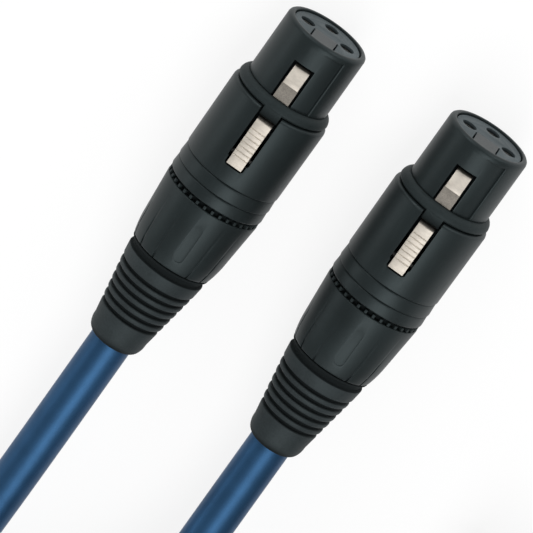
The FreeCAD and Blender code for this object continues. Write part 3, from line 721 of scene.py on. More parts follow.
def socket_spots(part, node, latch=False):
    """Where a piece of the socket connectors goes, and the node that it stands for."""
    return [
        (
            side + "_" + part,
            seat(side + "_socket_nose_shell"),
            side + "_latch" if latch else MAIN_BODY,
            [side + "_socket_" + node],
        )
        for side in SIDES
    ]


def plug_spots(part, node):
    """Where a piece of the plug connectors goes, and the node that it stands for."""
    return [
        (side + "_" + part, seat(side + "_plug_shell"), MAIN_BODY, [side + "_plug_" + node])
        for side in SIDES
    ]


def all_spots(part, node):
    """Where a piece that every connector has goes, and the node that it stands for."""
    return socket_spots("socket_" + part, node) + plug_spots("plug_" + part, node)


# ---------------------------------------------------------------- the cables' routes


# The coil's pitch, height over the floor, middle, radius, and the lead and the step of its points
PITCH = 8.23
COIL_LIFT = 1.1
COIL_CENTRE = Vector((-21.6, 138.0, 0))
COIL_RADIUS = 43.4
COIL_LEAD = 8.0
COIL_STEP = 15.0


def coil_point(start, turned_by, layer, angle):
    """The middle of the cable in a two-layer coil that spirals in and out again."""
    end = start + turned_by
    radius = COIL_RADIUS - PITCH * min(angle - start, end - angle) / 360
    rise = min(1, max(0, (angle - start - turned_by / 2 + 90) / 180))
    height = COIL_LIFT + CABLE_RADIUS + PITCH * (layer + rise * rise * (3 - 2 * rise))
    turn = math.radians(angle)
    return COIL_CENTRE + Vector((radius * math.cos(turn), radius * math.sin(turn), height))


def coil_end(start, turned_by, layer, last):
    """The point a lead away from one end of the coil, and the way the cable runs there."""
    step = 0.01
    angle = start + turned_by if last else start
    near = angle - step if last else angle + step
    here = coil_point(start, turned_by, layer, angle)
    heading = (here - coil_point(start, turned_by, layer, near)) * (1 if last else -1)
    heading.z = 0
    heading.normalize()
    return here + heading * (COIL_LEAD if last else -COIL_LEAD), heading


def coil_turns(start, turned_by, layer):
    """Control points of the coil, set out a little so that the smooth line has its radius."""
    count = math.ceil(turned_by / COIL_STEP)
    step = turned_by / count
    out = 1 / (0.75 + 0.25 * math.cos(math.radians(step)))
    points = []
    for i in range(count + 1):
        point = coil_point(start, turned_by, layer, start + i * step)
        arm = point - COIL_CENTRE
        points.append(COIL_CENTRE + Vector((arm.x * out, arm.y * out, arm.z)))
    return points


def left_route():
    """The left cable: out of the boot, two lower layers of the coil, back to its plug."""
    start, turned_by, layer = -9.0, 909.0, 0
    entry, heading = coil_end(start, turned_by, layer, False)
    leaving, away = coil_end(start, turned_by, layer, True)
    route = [Vector((16.6, 35.335, 9.5)), Vector((16.6, 60, 9.5)), Vector((16.9, 84, 6.8))]
    route += [entry - heading * 20, entry]
    route += coil_turns(start, turned_by, layer)
    return route + [leaving, leaving + away * 9, Vector((-65, 105, 9.5)), Vector((-65, 96, 9.5))]


def right_route():
    """The right cable: out of the boot, two upper layers, then over the top to its plug."""
    start, turned_by, layer = -45.0, 764.0, 2
    entry, heading = coil_end(start, turned_by, layer, False)
    leaving, away = coil_end(start, turned_by, layer, True)
    route = [Vector((-16.6, 33.665, 9.5)), Vector((-16.6, 49.4, 9.5))]
    route += [Vector((-16.6, 64.4, 13.3)), Vector((-12.9, 78.7, 18.5))]
    route += [entry - heading * 13.5, entry]
    route += coil_turns(start, turned_by, layer)
    route += [leaving]
    runs, run, last_run, top = 13, 8.4, 14.0, 43.19
    first, last = math.degrees(math.atan2(away.y, away.x)), 263.0
    for i in range(runs + 1):
        turn = math.radians(first + i * (last - first) / runs)
        share = (i + 1) / (runs + 1)
        point = route[-1] + Vector((run * math.cos(turn), run * math.sin(turn), 0))
        point.z = leaving.z + (top - leaving.z) * share ** 2 * (3 - 2 * share)
        route.append(point)
    return route + [route[-1] - Vector((0, last_run, 0))]


def smooth_line(name, points, **settings):
    """A curve with one open spline, drawn smooth near its points, in millimetres."""
    line = bpy.data.curves.new(name, "CURVE")
    for setting, value in settings.items():
        setattr(line, setting, value)
    spline = line.splines.new("NURBS")
    spline.points.add(len(points) - 1)
    for point, place in zip(spline.points, points):
        point.co = (*(place * MM), 1)
    spline.order_u = 3
    spline.use_endpoint_u = True
    piece = bpy.data.objects.new(name, line)
    bpy.context.scene.collection.objects.link(piece)
    return piece


def cable(name, route, diameter):
    """A smooth round jacket along its route."""
    return smooth_line(
        name, route, dimensions="3D", resolution_u=8, bevel_depth=diameter / 2,
        bevel_resolution=8, use_fill_caps=True,
    )


def centre_line(piece):
    """Points along a cable's middle, in millimetres."""
    bare = piece.data.copy()
    bare.bevel_depth = 0
    probe = bpy.data.objects.new("probe", bare)
    bpy.context.scene.collection.objects.link(probe)
    graph = bpy.context.evaluated_depsgraph_get()
    mesh = bpy.data.meshes.new_from_object(probe.evaluated_get(graph))
    points = [v.co / MM for v in mesh.vertices]
    bpy.data.objects.remove(probe)
    return points


# ---------------------------------------------------------------- operators


class Piece(bpy.types.Operator):
    """Shared by the operators below, so that each of them can be undone."""

    bl_options = {"REGISTER", "UNDO"}


class CABLEPAIR_OT_cables(Piece):
    """Lays the two jacketed cables along their routes."""

    bl_idname = "cable_pair.cables"
    bl_label = "Cables"

    def execute(self, context):
        sizes = context.scene.cable_pair_cables
        for side, route in zip(SIDES, (left_route(), right_route())):
            piece = cable(side + "_cord", route, sizes.diameter)
            stretches = [side + "_cable_" + part for part in ("free", "coil", "tail")]
            dress(piece, "blue_jacket", MAIN_BODY, stretches)
        return {"FINISHED"}


class CABLEPAIR_OT_declare(Piece):
    """Looks up the two cables, the plug pieces on them and where each route starts, and changes
    nothing.
    """

    bl_idname = "cable_pair.declare_cables"
    bl_label = "Declare cables"

    def execute(self, context):
        for side, route in zip(SIDES, (left_route(), right_route())):
            on_it = [o for o in bpy.data.objects if o.name.startswith(side + "_plug_")]
            bpy.data.objects[side + "_cord"]
            tuple(route[0] * MM)
        return {"FINISHED"}


class CABLEPAIR_OT_noses(Piece):
    """Noses of the socket connectors: rim, side panel, key and latch window."""

    bl_idname = "cable_pair.noses"
    bl_label = "Noses"

    def execute(self, context):
        radius, bore, rear, end, panel = 7.975, 6.85, 7.6, 28.4, 1.35
        nose = turned(
            "nose",
            [
                (0, bore, 0.18), (0, radius, 0.72), (panel, radius), (NOSE_END, radius, 0.12),
                (NOSE_END, rear), (end, rear, 0.2), (end, bore),
            ],
        )
        self.sink_panel(nose, panel, radius)
        key = cut_out("key", [(0.15, 1.5), (4.6, 1.5), (4.6, 7.3), (0.15, 7.3)], (-2.25, 2.25))
        carve(nose, key, operation="UNION")
        window = cut_out("window", [(5.0, 0), (27.2, 0), (27.2, 16), (5.0, 16)], (-2.075, 2.075))
        carve(nose, window, cross_rod(0.62, 6.44))
        soften(nose)
        spread(nose, socket_spots("nose", "nose_shell"), "black_housing")
        return {"FINISHED"}

    def sink_panel(self, nose, front, radius):
        """Sinks a panel that starts level by the window and is deepest at its far side."""
        from_angle, to_angle, depth = -8, 43, 0.45
        end = NOSE_END - 0.13
        near, near_angle = 0.01, 0.5
        level_share, bevel_from = 0.02, 14
        edit(nose, "FACE")

        def turn(x, z):
            return math.degrees(math.atan2(-x, z))

        def inside(x, y, z):
            outer = math.hypot(x, z) > radius - near and front - near < y < end + near
            return outer and from_angle - near_angle < turn(x, z) < to_angle + near_angle

        pick(nose, "FACE", inside)
        bpy.ops.mesh.extrude_region_move(TRANSFORM_OT_translate={"value": (0, 0, 0)})
        columns = {}
        for vertex in bmesh.from_edit_mesh(nose.data).verts:
            if vertex.select:
                angle = round(turn(vertex.co.x, vertex.co.z), 1)
                columns.setdefault(angle, []).append(vertex.index)
        bpy.ops.mesh.select_mode(type="VERT")
        widest = math.sin(math.radians(to_angle - from_angle))
        for angle, members in columns.items():
            share = math.sin(math.radians(angle - from_angle)) / widest
            if share <= level_share:
                continue
            bpy.ops.mesh.select_all(action="DESELECT")
            mesh = bmesh.from_edit_mesh(nose.data)
            mesh.verts.ensure_lookup_table()
            for index in members:
                mesh.verts[index].select_set(True)
            bmesh.update_edit_mesh(nose.data)
            size = 1 - min(1, share) * depth / radius
            bpy.ops.transform.resize(value=(size, 1, size), center_override=(0, 0, 0))
        close_up()
        edit(nose, "EDGE")

        def far_edge(x, y, z):
            return inside(x, y, z) and abs(turn(x, z) - to_angle) < 1.5

        def front_edge(x, y, z):
            at_front = inside(x, y, z) and abs(y - front) < near
            return at_front and bevel_from < turn(x, z) < to_angle - near_angle

        for rule, rounding in ((far_edge, 0.3), (front_edge, 0.2)):
            pick(nose, "EDGE", rule)
            bpy.ops.mesh.bevel(offset=rounding * MM, segments=4, affect="EDGES")
        close_up()


class CABLEPAIR_OT_shoulders(Piece):
    """Matte rings behind the noses, each with the tongue in front of the button."""

    bl_idname = "cable_pair.shoulders"
    bl_label = "Shoulder rings"

    def execute(self, context):
        front, middle, end, inner = 12.75, 13.35, 14.85, 7.75
        ring = turned(
            "shoulder",
            [
                (front, inner), (front, 8.25, 0.2), (middle, 8.95, 0.4), (end - 0.5, 9.2, 0.3),
                (end - 0.05, 8.65, 0.1), (end, inner),
            ],
        )
        tongue = cut_out(
            "tongue",
            [(14.4, 7.8), (16.45, 7.8), (16.45, 8.6), (16.1, 8.95), (14.4, 8.95)],
            (-1.75, 1.75),
        )
        carve(ring, tongue, operation="UNION")
        soften(ring)
        # The tongue under the button is darkened with painted shade
        mark(ring, lambda x, along, z: 0.85 if along > end else 0.0)
        spread(ring, socket_spots("shoulder", "shoulder_ring"), "black_trim")
        return {"FINISHED"}


def rear_bands():
    """The two flared bands at the rear of a housing."""
    high, low, rim = 9.4, 9.0, 9.26
    bands = []
    for start in (30.2, 32.9):
        bands += [(start, high, 0.15), (start + 0.08, low), (start + 0.36, rim, 0.1)]
    return bands + [(HOUSING_END - 0.1, high, 0.3)]


class CABLEPAIR_OT_sleeves(Piece):
    """Bodies of the socket connectors, with the slot for the button."""

    bl_idname = "cable_pair.sleeves"
    bl_label = "Body sleeves"

    def execute(self, context):
        front = 14.9
        sleeve = turned(
            "sleeve",
            [(front, BORE_RADIUS), (front, 9.5, 0.75)]
            + rear_bands()
            + [(HOUSING_END - 0.1, BORE_RADIUS)],
        )
        slot = cut_out(
            "slot",
            [
                (-2.15, front - 1), (2.15, front - 1), (2.15, 25.45), (2.0, 25.6), (1.9, 25.6),
                (1.9, 26.8), (1.5, 27.2), (-1.5, 27.2), (-1.9, 26.8), (-1.9, 25.6), (-2.0, 25.6),
                (-2.15, 25.45),
            ],
            (0, 16),
            "Z",
        )
        carve(sleeve, slot)
        soften(sleeve, 0.00022, 3)
        spread(sleeve, socket_spots("sleeve", "body_sleeve"), "black_housing")
        return {"FINISHED"}


class CABLEPAIR_OT_cores(Piece):
    """Plastic cores and tubular contacts of the socket connectors."""

    bl_idname = "cable_pair.cores"
    bl_label = "Socket cores"

    def execute(self, context):
        hole, bore, radius, front, end = 1.42, 1.68, 6.7, 0.35, 22
        core = turned("core", [(front, radius, 0.2), (end, radius, 0.2)], tube=False)
        room = cut_out("room", [(0, 1.2), (4.9, 1.2), (4.9, 9), (0, 9)], (-2.55, 2.55))
        channel = cut_out("channel", [(4.6, 3.5), (23, 3.5), (23, 9), (4.6, 9)], (-2.45, 2.45))
        carve(core, room, channel)
        for x, z in CONTACTS:
            carve(core, rod("hole", hole, 0, 1.02, x, z), rod("bore", bore, 1.0, end + 1, x, z))
        soften(core)

        def from_contact(x, z):
            return min(math.hypot(x - a, z - b) for a, b in CONTACTS)

        # The insides of the contact bores are darkened with painted shade
        mark(core, lambda x, along, z: along > 0.6 and from_contact(x, z) < bore + 0.04)
        spread(core, socket_spots("core", "insert"), "insert_plastic")

        tube = turned(
            "tube",
            [
                (1.0, 1.25, 0.1), (1.0, 1.65, 0.1), (15.0, 1.65, 0.1), (15.0, 1.25),
                (25.0, 1.25, 0.05), (25.0, 0.85), (20.5, 0.85), (20.5, 0.3), (13.5, 0.3),
                (13.5, 1.25),
            ],
            ring=40, steps=2,
        )
        three_of(tube)
        # The insides of the tubes, in their holes, are darkened with painted shade
        mark(tube, lambda x, along, z: along < 14 and from_contact(x, z) < 1.6)
        spread(tube, socket_spots("contact_tubes", "contacts"), "silvered_contact")
        return {"FINISHED"}


class CABLEPAIR_OT_latches(Piece):
    """Nickel latch levers: hook, plate and ridged button."""

    bl_idname = "cable_pair.latches"
    bl_label = "Latches"

    def execute(self, context):
        front, high, end, low = 16.95, 9.75, 26.8, 9.6
        ridges, first, pitch, half, depth = 7, 19.07, 0.955, 0.15, 0.17
        hook = [
            (5.9, 5.2), (5.9, 7.15), (6.05, 7.35), (8.1, 8.72), (8.4, 8.9), (9.2, 8.9),
            (9.3, 8.78), (9.3, 7.85),
        ]
        neck = [(12.3, 7.85), (12.5, 7.75), (12.8, 7.2), (front, 7.2)]
        button = [(front, 9.3), (17.15, 9.73)]
        slope = (low - high) / (end - front)
        for i in range(ridges):
            middle = first + i * pitch
            height = high + slope * (middle - front)
            button += [(middle - half, height), (middle, height - depth), (middle + half, height)]
        heel = [(end, low), (end, 5.6), (26.2, 5.0), (24.2, 5.0), (23.0, 5.2)]
        lever = cut_out("lever", hook + neck + button + heel, (-1.52, 1.52))
        carve(lever, cross_rod(0.65, 8))
        catch = [(9.4, 7.25), (12.65, 7.25), (12.65, 7.85), (9.4, 7.85)]
        carve(lever, cut_out("catch", catch, (-1.6, 1.6)), operation="UNION")
        soften(lever, 0.0001)
        mark(lever, self.latch_darkening)
        spread(lever, socket_spots("latch_lever", "latch", latch=True), "nickel_latch")
        return {"FINISHED"}

    def latch_darkening(self, x, along, z):
        """Painted shade makes the neck and the underside nearly black, and the catch plate is
        painted darker.
        """
        plate_start, plate_end, neck_end, underside = 9.25, 12.67, 16.97, 6.5
        if plate_end < along < neck_end or z < underside:
            return 1.0
        return 0.62 if plate_start < along < plate_end else 0.0


class CABLEPAIR_OT_toothed_rings(Piece):
    """Toothed rings between the housings and the bushings."""

    bl_idname = "cable_pair.toothed_rings"
    bl_label = "Toothed rings"

    def execute(self, context):
        teeth, bore, root, tip = 36, 7.65, 8.45, 9.22
        front, tooth, end = 35.6, 35.74, 36.4
        ring = turned(
            "teeth",
            [(front, bore), (front, root), (tooth, root), (end, root), (end, bore)],
            ring=teeth * 6,
        )
        edit(ring, "FACE")
        step = 360 / teeth

        def on_tooth(face):
            centre = face.calc_center_median() / MM
            angle = math.degrees(math.atan2(centre.x, centre.z)) / step
            outside = math.hypot(centre.x, centre.z) > root - 0.1 and centre.y > tooth
            return outside and abs(angle - round(angle)) < 0.2

        bpy.ops.mesh.select_all(action="DESELECT")
        mesh = bmesh.from_edit_mesh(ring.data)
        for face in mesh.faces:
            if abs(face.normal.y) < 0.5 and on_tooth(face):
                face.select_set(True)
        bmesh.update_edit_mesh(ring.data)
        bpy.ops.mesh.extrude_region_move(TRANSFORM_OT_translate={"value": (0, 0, 0)})
        size = tip / root
        bpy.ops.transform.resize(value=(size, 1, size), center_override=(0, 0, 0))
        close_up()
        soften(ring, 0.00008, 2)
        # Below the tips, between the teeth, the colour darkens with painted shade
        mark(ring, lambda x, y, z: max(0.0, min(1.0, (tip - 0.2 - math.hypot(x, z)) / 0.3)))
        spread(ring, all_spots("toothed_ring", "anti_turn_ring"), "black_trim")
        return {"FINISHED"}


class CABLEPAIR_OT_bushings(Piece):
    """Screwed bushings: threaded neck, grip grooves and a bare label recess."""

    bl_idname = "cable_pair.bushings"
    bl_label = "Bushings"

    def execute(self, context):
        neck, core = 7.6, 6.2
        turns, pitch, cut = 5, 0.9, 0.25
        thread = []
        for i in range(turns):
            along = 30.5 + i * pitch
            thread += [(along, neck - cut), (along + pitch / 2, neck)]
        bushing = turned(
            "bushing",
            [(29.9, core), (29.9, neck - cut)] + thread + [
                (BUSHING_FRONT, neck), (BUSHING_FRONT, 9.3, 0.2), (47.6, 8.42, 1.6),
                (BUSHING_END, 7.9, 0.22), (BUSHING_END, 6.6), (47.3, 6.6), (47.3, 7.3),
                (44.4, 7.3), (44.4, core),
            ],
        )
        carve(bushing, self.label(), *self.grooves())
        soften(bushing, 0.00011)
        spread(bushing, all_spots("screw_bushing", "bushing"), "bushing_plastic")
        return {"FINISHED"}

    def label(self):
        """The block that cuts the label recess, over the recess's own floor."""
        half, front, end, shift = 0.925, 39.5, 47.5, -1.3
        corners = [(-half, front), (half, front), (half, end), (-half, end)]
        label = cut_out("label", corners, (0, 20), "Z")
        round_corners(label, lambda x, y, z: abs(abs(x) - half) < 0.01, 0.83)
        floor = turned("floor", [(36, 9.13), (47.6, 8.22), (50.2, 8.2)], tube=False)
        put(label, (shift * MM, 0, 0))
        carve(label, floor)
        return label

    def grooves(self):
        """The blades that cut the grip grooves; one place of the round is the label's."""
        places, offset = 14, -7.2
        depth = [(39.5, 9.12), (47.6, 8.29), (50.6, 7.2), (50.6, 20), (39.5, 20)]
        blade = cut_out("groove", depth, (-0.19, 0.19))
        blades = [blade] + [copy_of(blade) for _ in range(places - 2)]
        for i, blade in enumerate(blades, 1):
            put(blade, angle=360 * i / places + offset)
        return blades


def boot_radius(along):
    """Outer radius of the boot without its grooves."""
    knots = [(BUSHING_END, 7.85), (54.2, 7.3), (60.8, 6.25), (66.0, 5.4), (BOOT_END, 5.3)]
    for (a, r), (b, q) in zip(knots, knots[1:]):
        if along <= b:
            return r + (q - r) * (along - a) / (b - a)
    return knots[-1][1]


class CABLEPAIR_OT_boots(Piece):
    """Ribbed rubber boots that keep the cables from kinking."""

    bl_idname = "cable_pair.boots"
    bl_label = "Boots"

    def execute(self, context):
        bore = CABLE_RADIUS + 0.05
        front = BUSHING_END + 0.15
        end = BOOT_END - 0.05
        wall, pitch = 0.14, 1.68
        corners = [
            (44.5, bore), (44.5, 7.2), (47.2, 7.2), (47.2, 6.5), (front, 6.5),
            (front, boot_radius(front), 0.15),
        ]
        grooves = [(50.8, 1.3, 0.6)] + [(54.4 + i * pitch, 0.86, 0.72) for i in range(6)]
        for middle, width, depth in grooves:
            near, far = middle - width / 2, middle + width / 2
            corners += [
                (near, boot_radius(near), 0.2), (near + wall, boot_radius(near) - depth, 0.1),
                (far - wall, boot_radius(far) - depth, 0.1), (far, boot_radius(far), 0.2),
            ]
        corners += [(66.0, 5.4), (67.5, 5.35, 0.8), (68.65, 4.7, 0.5), (end, 4.15), (end, bore)]
        boot = turned("boot", corners, ring=96)
        soften(boot, 0, angle=50)

        # The collar behind the bushing and the groove floors are darkened with painted shade
        def shaded(x, along, z):
            depth = boot_radius(along) - math.hypot(x, z)
            return 1.0 if along < 51.5 else max(0.0, min(1.0, depth / 0.4 - 0.3))

        mark(boot, shaded)
        spread(boot, all_spots("ribbed_boot", "boot"), "boot_rubber")
        return {"FINISHED"}


class CABLEPAIR_OT_cable_ends(Piece):
    """Jacketed ends of the cables inside the connectors."""

    bl_idname = "cable_pair.cable_ends"
    bl_label = "Cable ends"

    def execute(self, context):
        front, inner = 34.4, 2.9
        end = turned(
            "end",
            [
                (front, inner, 0.1), (front, CABLE_RADIUS, 0.15), (BOOT_END, CABLE_RADIUS),
                (BOOT_END, inner),
            ],
            ring=64,
        )
        soften(end, 0)
        spread(end, all_spots("jacket_end", "cable_end"), "blue_jacket")
        return {"FINISHED"}


class CABLEPAIR_OT_plug_housings(Piece):
    """Housings of the plug connectors, with the pocket that the latch's hook catches in."""

    bl_idname = "cable_pair.plug_housings"
    bl_label = "Plug housings"

    def execute(self, context):
        housing = turned(
            "housing",
            [(0, 8.1, 0.25), (0, 9.5, 0.5)] + rear_bands() + [
                (HOUSING_END - 0.1, BORE_RADIUS), (13.5, BORE_RADIUS), (13.5, 7.2), (12.9, 7.2),
                (12.9, 8.1),
            ],
        )
        pocket = cut_out("pocket", [(2.6, 7.3), (7.3, 7.3), (7.3, 9.1), (2.6, 9.1)], (-1.95, 1.95))
        carve(housing, pocket)
        soften(housing)
        spread(housing, plug_spots("plug_housing", "shell"), "black_housing")
        return {"FINISHED"}


class CABLEPAIR_OT_plug_cores(Piece):
    """Plastic cores and pins of the plug connectors."""

    bl_idname = "cable_pair.plug_cores"
    bl_label = "Plug cores"

    def execute(self, context):
        core = turned(
            "plug_core",
            [(12.9, 7.15, 0.2), (13.55, 7.15), (13.55, 7.7, 0.05), (20.0, 7.7, 0.3)],
            tube=False,
        )
        for x, z in CONTACTS:
            carve(core, rod("hole", 1.53, 12, 21, x, z))
        soften(core)
        spread(core, plug_spots("plug_core", "insert"), "insert_plastic")

        pin = turned(
            "pin",
            [
                (2.0, 0.3), (2.0, 1.2, 0.55), (13.0, 1.2), (13.0, 1.5, 0.1), (25.0, 1.5, 0.05),
                (25.0, 0.85), (20.5, 0.85), (20.5, 0.3),
            ],
            tube=False, ring=48,
        )
        three_of(pin)
        spread(pin, plug_spots("plug_three_pins", "pins"), "silvered_contact")
        return {"FINISHED"}


def hull(spots):
    """Corners of the smallest convex shape round flat points, in order."""
    spots = sorted(set(spots))
    sides = []
    for run in (spots, spots[::-1]):
        side = []
        for p in run:
            while len(side) > 1:
                (ax, ay), (bx, by) = side[-2], side[-1]
                if (bx - ax) * (p[1] - ay) - (by - ay) * (p[0] - ax) > 0:
                    break
                side.pop()
            side.append(p)
        sides += side[:-1]
    return sides


class CABLEPAIR_OT_ties(Piece):
    """Hook-and-loop ties round the coil, each with its end lapped over."""

    bl_idname = "cable_pair.ties"
    bl_label = "Ties"

    def execute(self, context):
        sizes = context.scene.cable_pair_ties
        lines = [p for side in SIDES for p in centre_line(bpy.data.objects[side + "_cord"])]
        for name, angle in (("near", -92.0), ("far", 88.0)):
            self.wrap(name, angle, lines, sizes.width / MM, sizes.thickness / MM)
        return {"FINISHED"}

    def wrap(self, name, angle, lines, width, thickness):
        """Lays a tie round the cables at one angle of the coil."""
        turn = math.radians(angle)
        outward = Vector((math.cos(turn), math.sin(turn), 0))
        forward = Vector((-math.sin(turn), math.cos(turn), 0))
        spots = []
        for point in lines:
            reach = point - COIL_CENTRE
            if abs(reach.dot(forward)) <= width / 2 + 1 and reach.dot(outward) > 0:
                spots.append((round(reach.dot(outward), 2), round(point.z, 2)))
        slack, play, hem = 0.25, 0.06, 0.3
        path = self.round_path(hull(spots), CABLE_RADIUS + slack + thickness / 2)
        path = self.lapped(path, thickness + play)
        strap = smooth_line(
            name + "_strap", [Vector((out, up, 0)) for out, up in path], dimensions="2D",
            fill_mode="NONE", extrude=(width / 2 - hem) * MM, resolution_u=3,
        )
        axes = Matrix((outward, Vector((0, 0, 1)), outward.cross(Vector((0, 0, 1))))).transposed()
        strap.matrix_world = Matrix.Translation(COIL_CENTRE * MM) @ axes.to_4x4()
        only(strap)
        bpy.ops.object.convert(target="MESH")
        bpy.ops.object.transform_apply(location=True, rotation=True, scale=True)
        edit(strap, "VERT")
        close_up()
        edit(strap, "EDGE")
        bpy.ops.mesh.select_all(action="SELECT")
        bpy.ops.mesh.subdivide(number_cuts=3)
        bpy.ops.object.mode_set(mode="OBJECT")
        apply(strap, "SOLIDIFY", thickness=thickness * MM, offset=0.0)
        apply(
            strap, "BEVEL", width=0.25 * MM, segments=3, limit_method="ANGLE",
            angle_limit=math.radians(60),
        )
        only(strap)
        bpy.ops.object.shade_smooth_by_angle(angle=math.radians(50))
        dress(strap, "tie_fabric", MAIN_BODY, [name + "_tie"])

    def round_path(self, corners, reach):
        """Convex corners set out by reach, with a round bend at each."""
        step = 15
        path = []
        count = len(corners)
        for i, (x, y) in enumerate(corners):
            before, after = corners[i - 1], corners[(i + 1) % count]
            first = math.atan2(before[0] - x, y - before[1])
            last = math.atan2(x - after[0], after[1] - y)
            sweep = (last - first) % (2 * math.pi)
            steps = max(1, round(math.degrees(sweep) / step))
            for j in range(steps + 1):
                a = first + sweep * j / steps
                path.append((x + reach * math.cos(a), y + reach * math.sin(a)))
        return path

    def lapped(self, path, lift):
        """Opens the loop on its outer side and lays the end over the start."""
        opening, lap_top, closest = 9.0, 25, 0.15
        count = len(path)
        mouth = (max(p[0] for p in path), opening)
        start = min(range(count), key=lambda i: math.dist(path[i], mouth))
        loop = path[start:] + path[:start]
        lap = []
        for i, (x, y) in enumerate(loop):
            if y > lap_top or i > count // 2:
                break
            lap.append((x + lift, y))
        apart = [loop[0]]
        for point in loop[1:] + lap:
            if math.dist(point, apart[-1]) > closest:
                apart.append(point)
        return apart


class CABLEPAIR_OT_inner_parts(Piece):
    """Gives the hidden parts that stay as packed their finishes."""

    bl_idname = "cable_pair.inner_parts"
    bl_label = "Inner parts"

    def execute(self, context):
        slots = {part["node"]: part["material_slot"] for part in frame["record"]["subparts"]}
        for name, node in frame["nodes"].items():
            if not node.hide_render:
                node.data.materials.clear()
                node.data.materials.append(finish_for(slots[name]))
        for side in SIDES:
            spring = side + "_socket_latch_spring"
            leaf = frame["nodes"][spring]
            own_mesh(leaf)
        return {"FINISHED"}


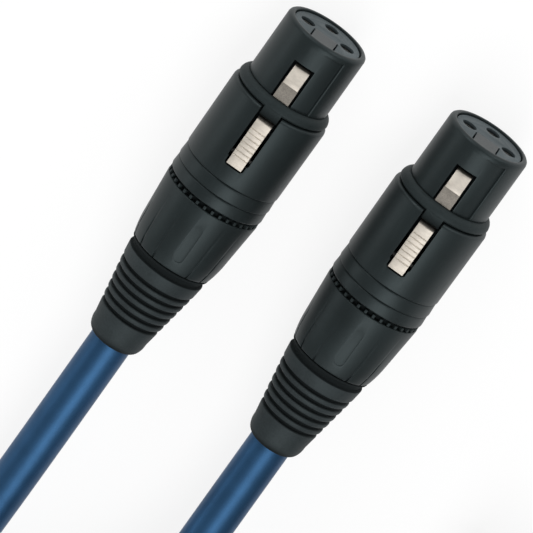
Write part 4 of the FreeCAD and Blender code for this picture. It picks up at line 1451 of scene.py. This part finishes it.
class CABLEPAIR_OT_stage(Piece):
    """Floor, soft lamps, even sky and the camera."""

    bl_idname = "cable_pair.stage"
    bl_label = "Stage"

    # Name, power setting, width and height, place, and the axis that the width lies across
    lamps = (
        ("key", "key", (0.32, 0.6), (-0.215, 0.181, 0.54), (0, 1, 0)),
        ("fill", "fill", (0.15, 0.5), (0.556, 0.072, 0.213), (0, 1, 0)),
        ("front_left", "front", (0.3, 0.3), (0.3, -0.52, 0.24), (0, 1, 0)),
        ("front_right", "front", (0.3, 0.3), (-0.3, -0.52, 0.24), (0, 1, 0)),
        ("rear", "rear", (0.12, 0.7), (-0.06, 0.5, 0.33), (1, 0, 0)),
    )

    def execute(self, context):
        sizes = context.scene.cable_pair_stage
        self.lay_floor(sizes)
        self.light_sky(context.scene, sizes)
        for lamp in self.lamps:
            self.hang_lamp(sizes, *lamp)
        self.set_camera(context.scene, sizes)
        context.scene.view_settings.view_transform = "Standard"
        return {"FINISHED"}

    def lay_floor(self, sizes):
        """A pale floor, which isn't part of the object."""
        floor = begin("plane", "floor", size=6, location=(0, 0, 0))
        edit(floor, "FACE")
        bpy.ops.mesh.select_all(action="SELECT")
        bpy.ops.mesh.subdivide(number_cuts=3)
        close_up()
        finish = Finish("floor", Roughness=0.9, Specular_IOR_Level=0.1)
        tone = finish.noise(600, 2)
        finish.feed(Base_Color=finish.mix(tone, shade(sizes.floor, 0.995), sizes.floor))
        finish.whiten(sizes.haze)
        floor.data.materials.append(finish.material)

    def light_sky(self, scene, sizes):
        """Even white light from all round."""
        world = bpy.data.worlds.new("sky")
        scene.world = world
        world.use_nodes = True
        nodes, links = world.node_tree.nodes, world.node_tree.links
        nodes.clear()
        output = nodes.new("ShaderNodeOutputWorld")
        sky = nodes.new("ShaderNodeBackground")
        sky.inputs["Color"].default_value = (1, 1, 1, 1)
        sky.inputs["Strength"].default_value = sizes.sky
        links.new(sky.outputs[0], output.inputs["Surface"])

    def hang_lamp(self, sizes, name, power, size, place, axis):
        """Hangs a soft lamp that faces the middle of the sockets."""
        light = bpy.data.lights.new(name, "AREA")
        light.shape = "RECTANGLE"
        light.size, light.size_y = size
        light.energy = getattr(sizes, power)
        lamp = bpy.data.objects.new(name, light)
        bpy.context.scene.collection.objects.link(lamp)
        middle = Vector((0, 0, 0.0095))
        down = (Vector(place) - middle).normalized()
        across = Vector(axis).cross(down).normalized()
        turn = Matrix((across, down.cross(across), down)).transposed().to_4x4()
        lamp.matrix_world = Matrix.Translation(place) @ turn

    def set_camera(self, scene, sizes):
        """Looks down on the two sockets, with the picture turned as the photograph is."""
        aim = Vector((1.97, 7.66, 9.5)) * MM
        distance = 1.5
        lean, rise = 0.3206, 0.9472
        back = Vector((0, -lean, rise))
        level = Vector((0, rise, lean))
        cosine, sine = -0.8146, -0.5801
        across = Vector((cosine, 0, 0)) + level * sine
        upward = Vector((-sine, 0, 0)) + level * cosine
        lens = bpy.data.cameras.new("camera")
        lens.lens = sizes.lens
        lens.sensor_width = 36
        lens.clip_start = 0.01
        camera = bpy.data.objects.new("camera", lens)
        scene.collection.objects.link(camera)
        turn = Matrix((across, upward, back)).transposed().to_4x4()
        camera.matrix_world = Matrix.Translation(aim + back * distance) @ turn
        scene.camera = camera


STEPS = (
    CABLEPAIR_OT_cables,
    CABLEPAIR_OT_noses,
    CABLEPAIR_OT_shoulders,
    CABLEPAIR_OT_sleeves,
    CABLEPAIR_OT_cores,
    CABLEPAIR_OT_latches,
    CABLEPAIR_OT_toothed_rings,
    CABLEPAIR_OT_bushings,
    CABLEPAIR_OT_boots,
    CABLEPAIR_OT_cable_ends,
    CABLEPAIR_OT_plug_housings,
    CABLEPAIR_OT_plug_cores,
    CABLEPAIR_OT_ties,
    CABLEPAIR_OT_inner_parts,
    CABLEPAIR_OT_stage,
    CABLEPAIR_OT_declare,
)

SETTINGS = {
    "cable_pair_cables": CableSettings,
    "cable_pair_connectors": ConnectorSettings,
    "cable_pair_ties": TieSettings,
    "cable_pair_stage": StageSettings,
}


class CABLEPAIR_PT_panel(bpy.types.Panel):
    """Lists the settings and the steps in the sidebar."""

    bl_label = "Cable pair"
    bl_space_type = "VIEW_3D"
    bl_region_type = "UI"
    bl_category = "Cable pair"

    def draw(self, context):
        for name, group in SETTINGS.items():
            box = self.layout.box()
            for prop in group.__annotations__:
                box.prop(getattr(context.scene, name), prop)
        for step in STEPS:
            self.layout.operator(step.bl_idname)


def register():
    """Adds the settings, the operators and the panel."""
    for name, group in SETTINGS.items():
        bpy.utils.register_class(group)
        setattr(bpy.types.Scene, name, bpy.props.PointerProperty(type=group))
    for step in STEPS:
        bpy.utils.register_class(step)
    bpy.utils.register_class(CABLEPAIR_PT_panel)


def unregister():
    """Takes the panel, the operators and the settings away again."""
    bpy.utils.unregister_class(CABLEPAIR_PT_panel)
    for step in reversed(STEPS):
        bpy.utils.unregister_class(step)
    for name, group in SETTINGS.items():
        delattr(bpy.types.Scene, name)
        bpy.utils.unregister_class(group)


def main():
    """Registers the add-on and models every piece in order."""
    register()
    for step in STEPS:
        family, name = step.bl_idname.split(".")
        getattr(getattr(bpy.ops, family), name)()


if __name__ == "__main__":
    main()
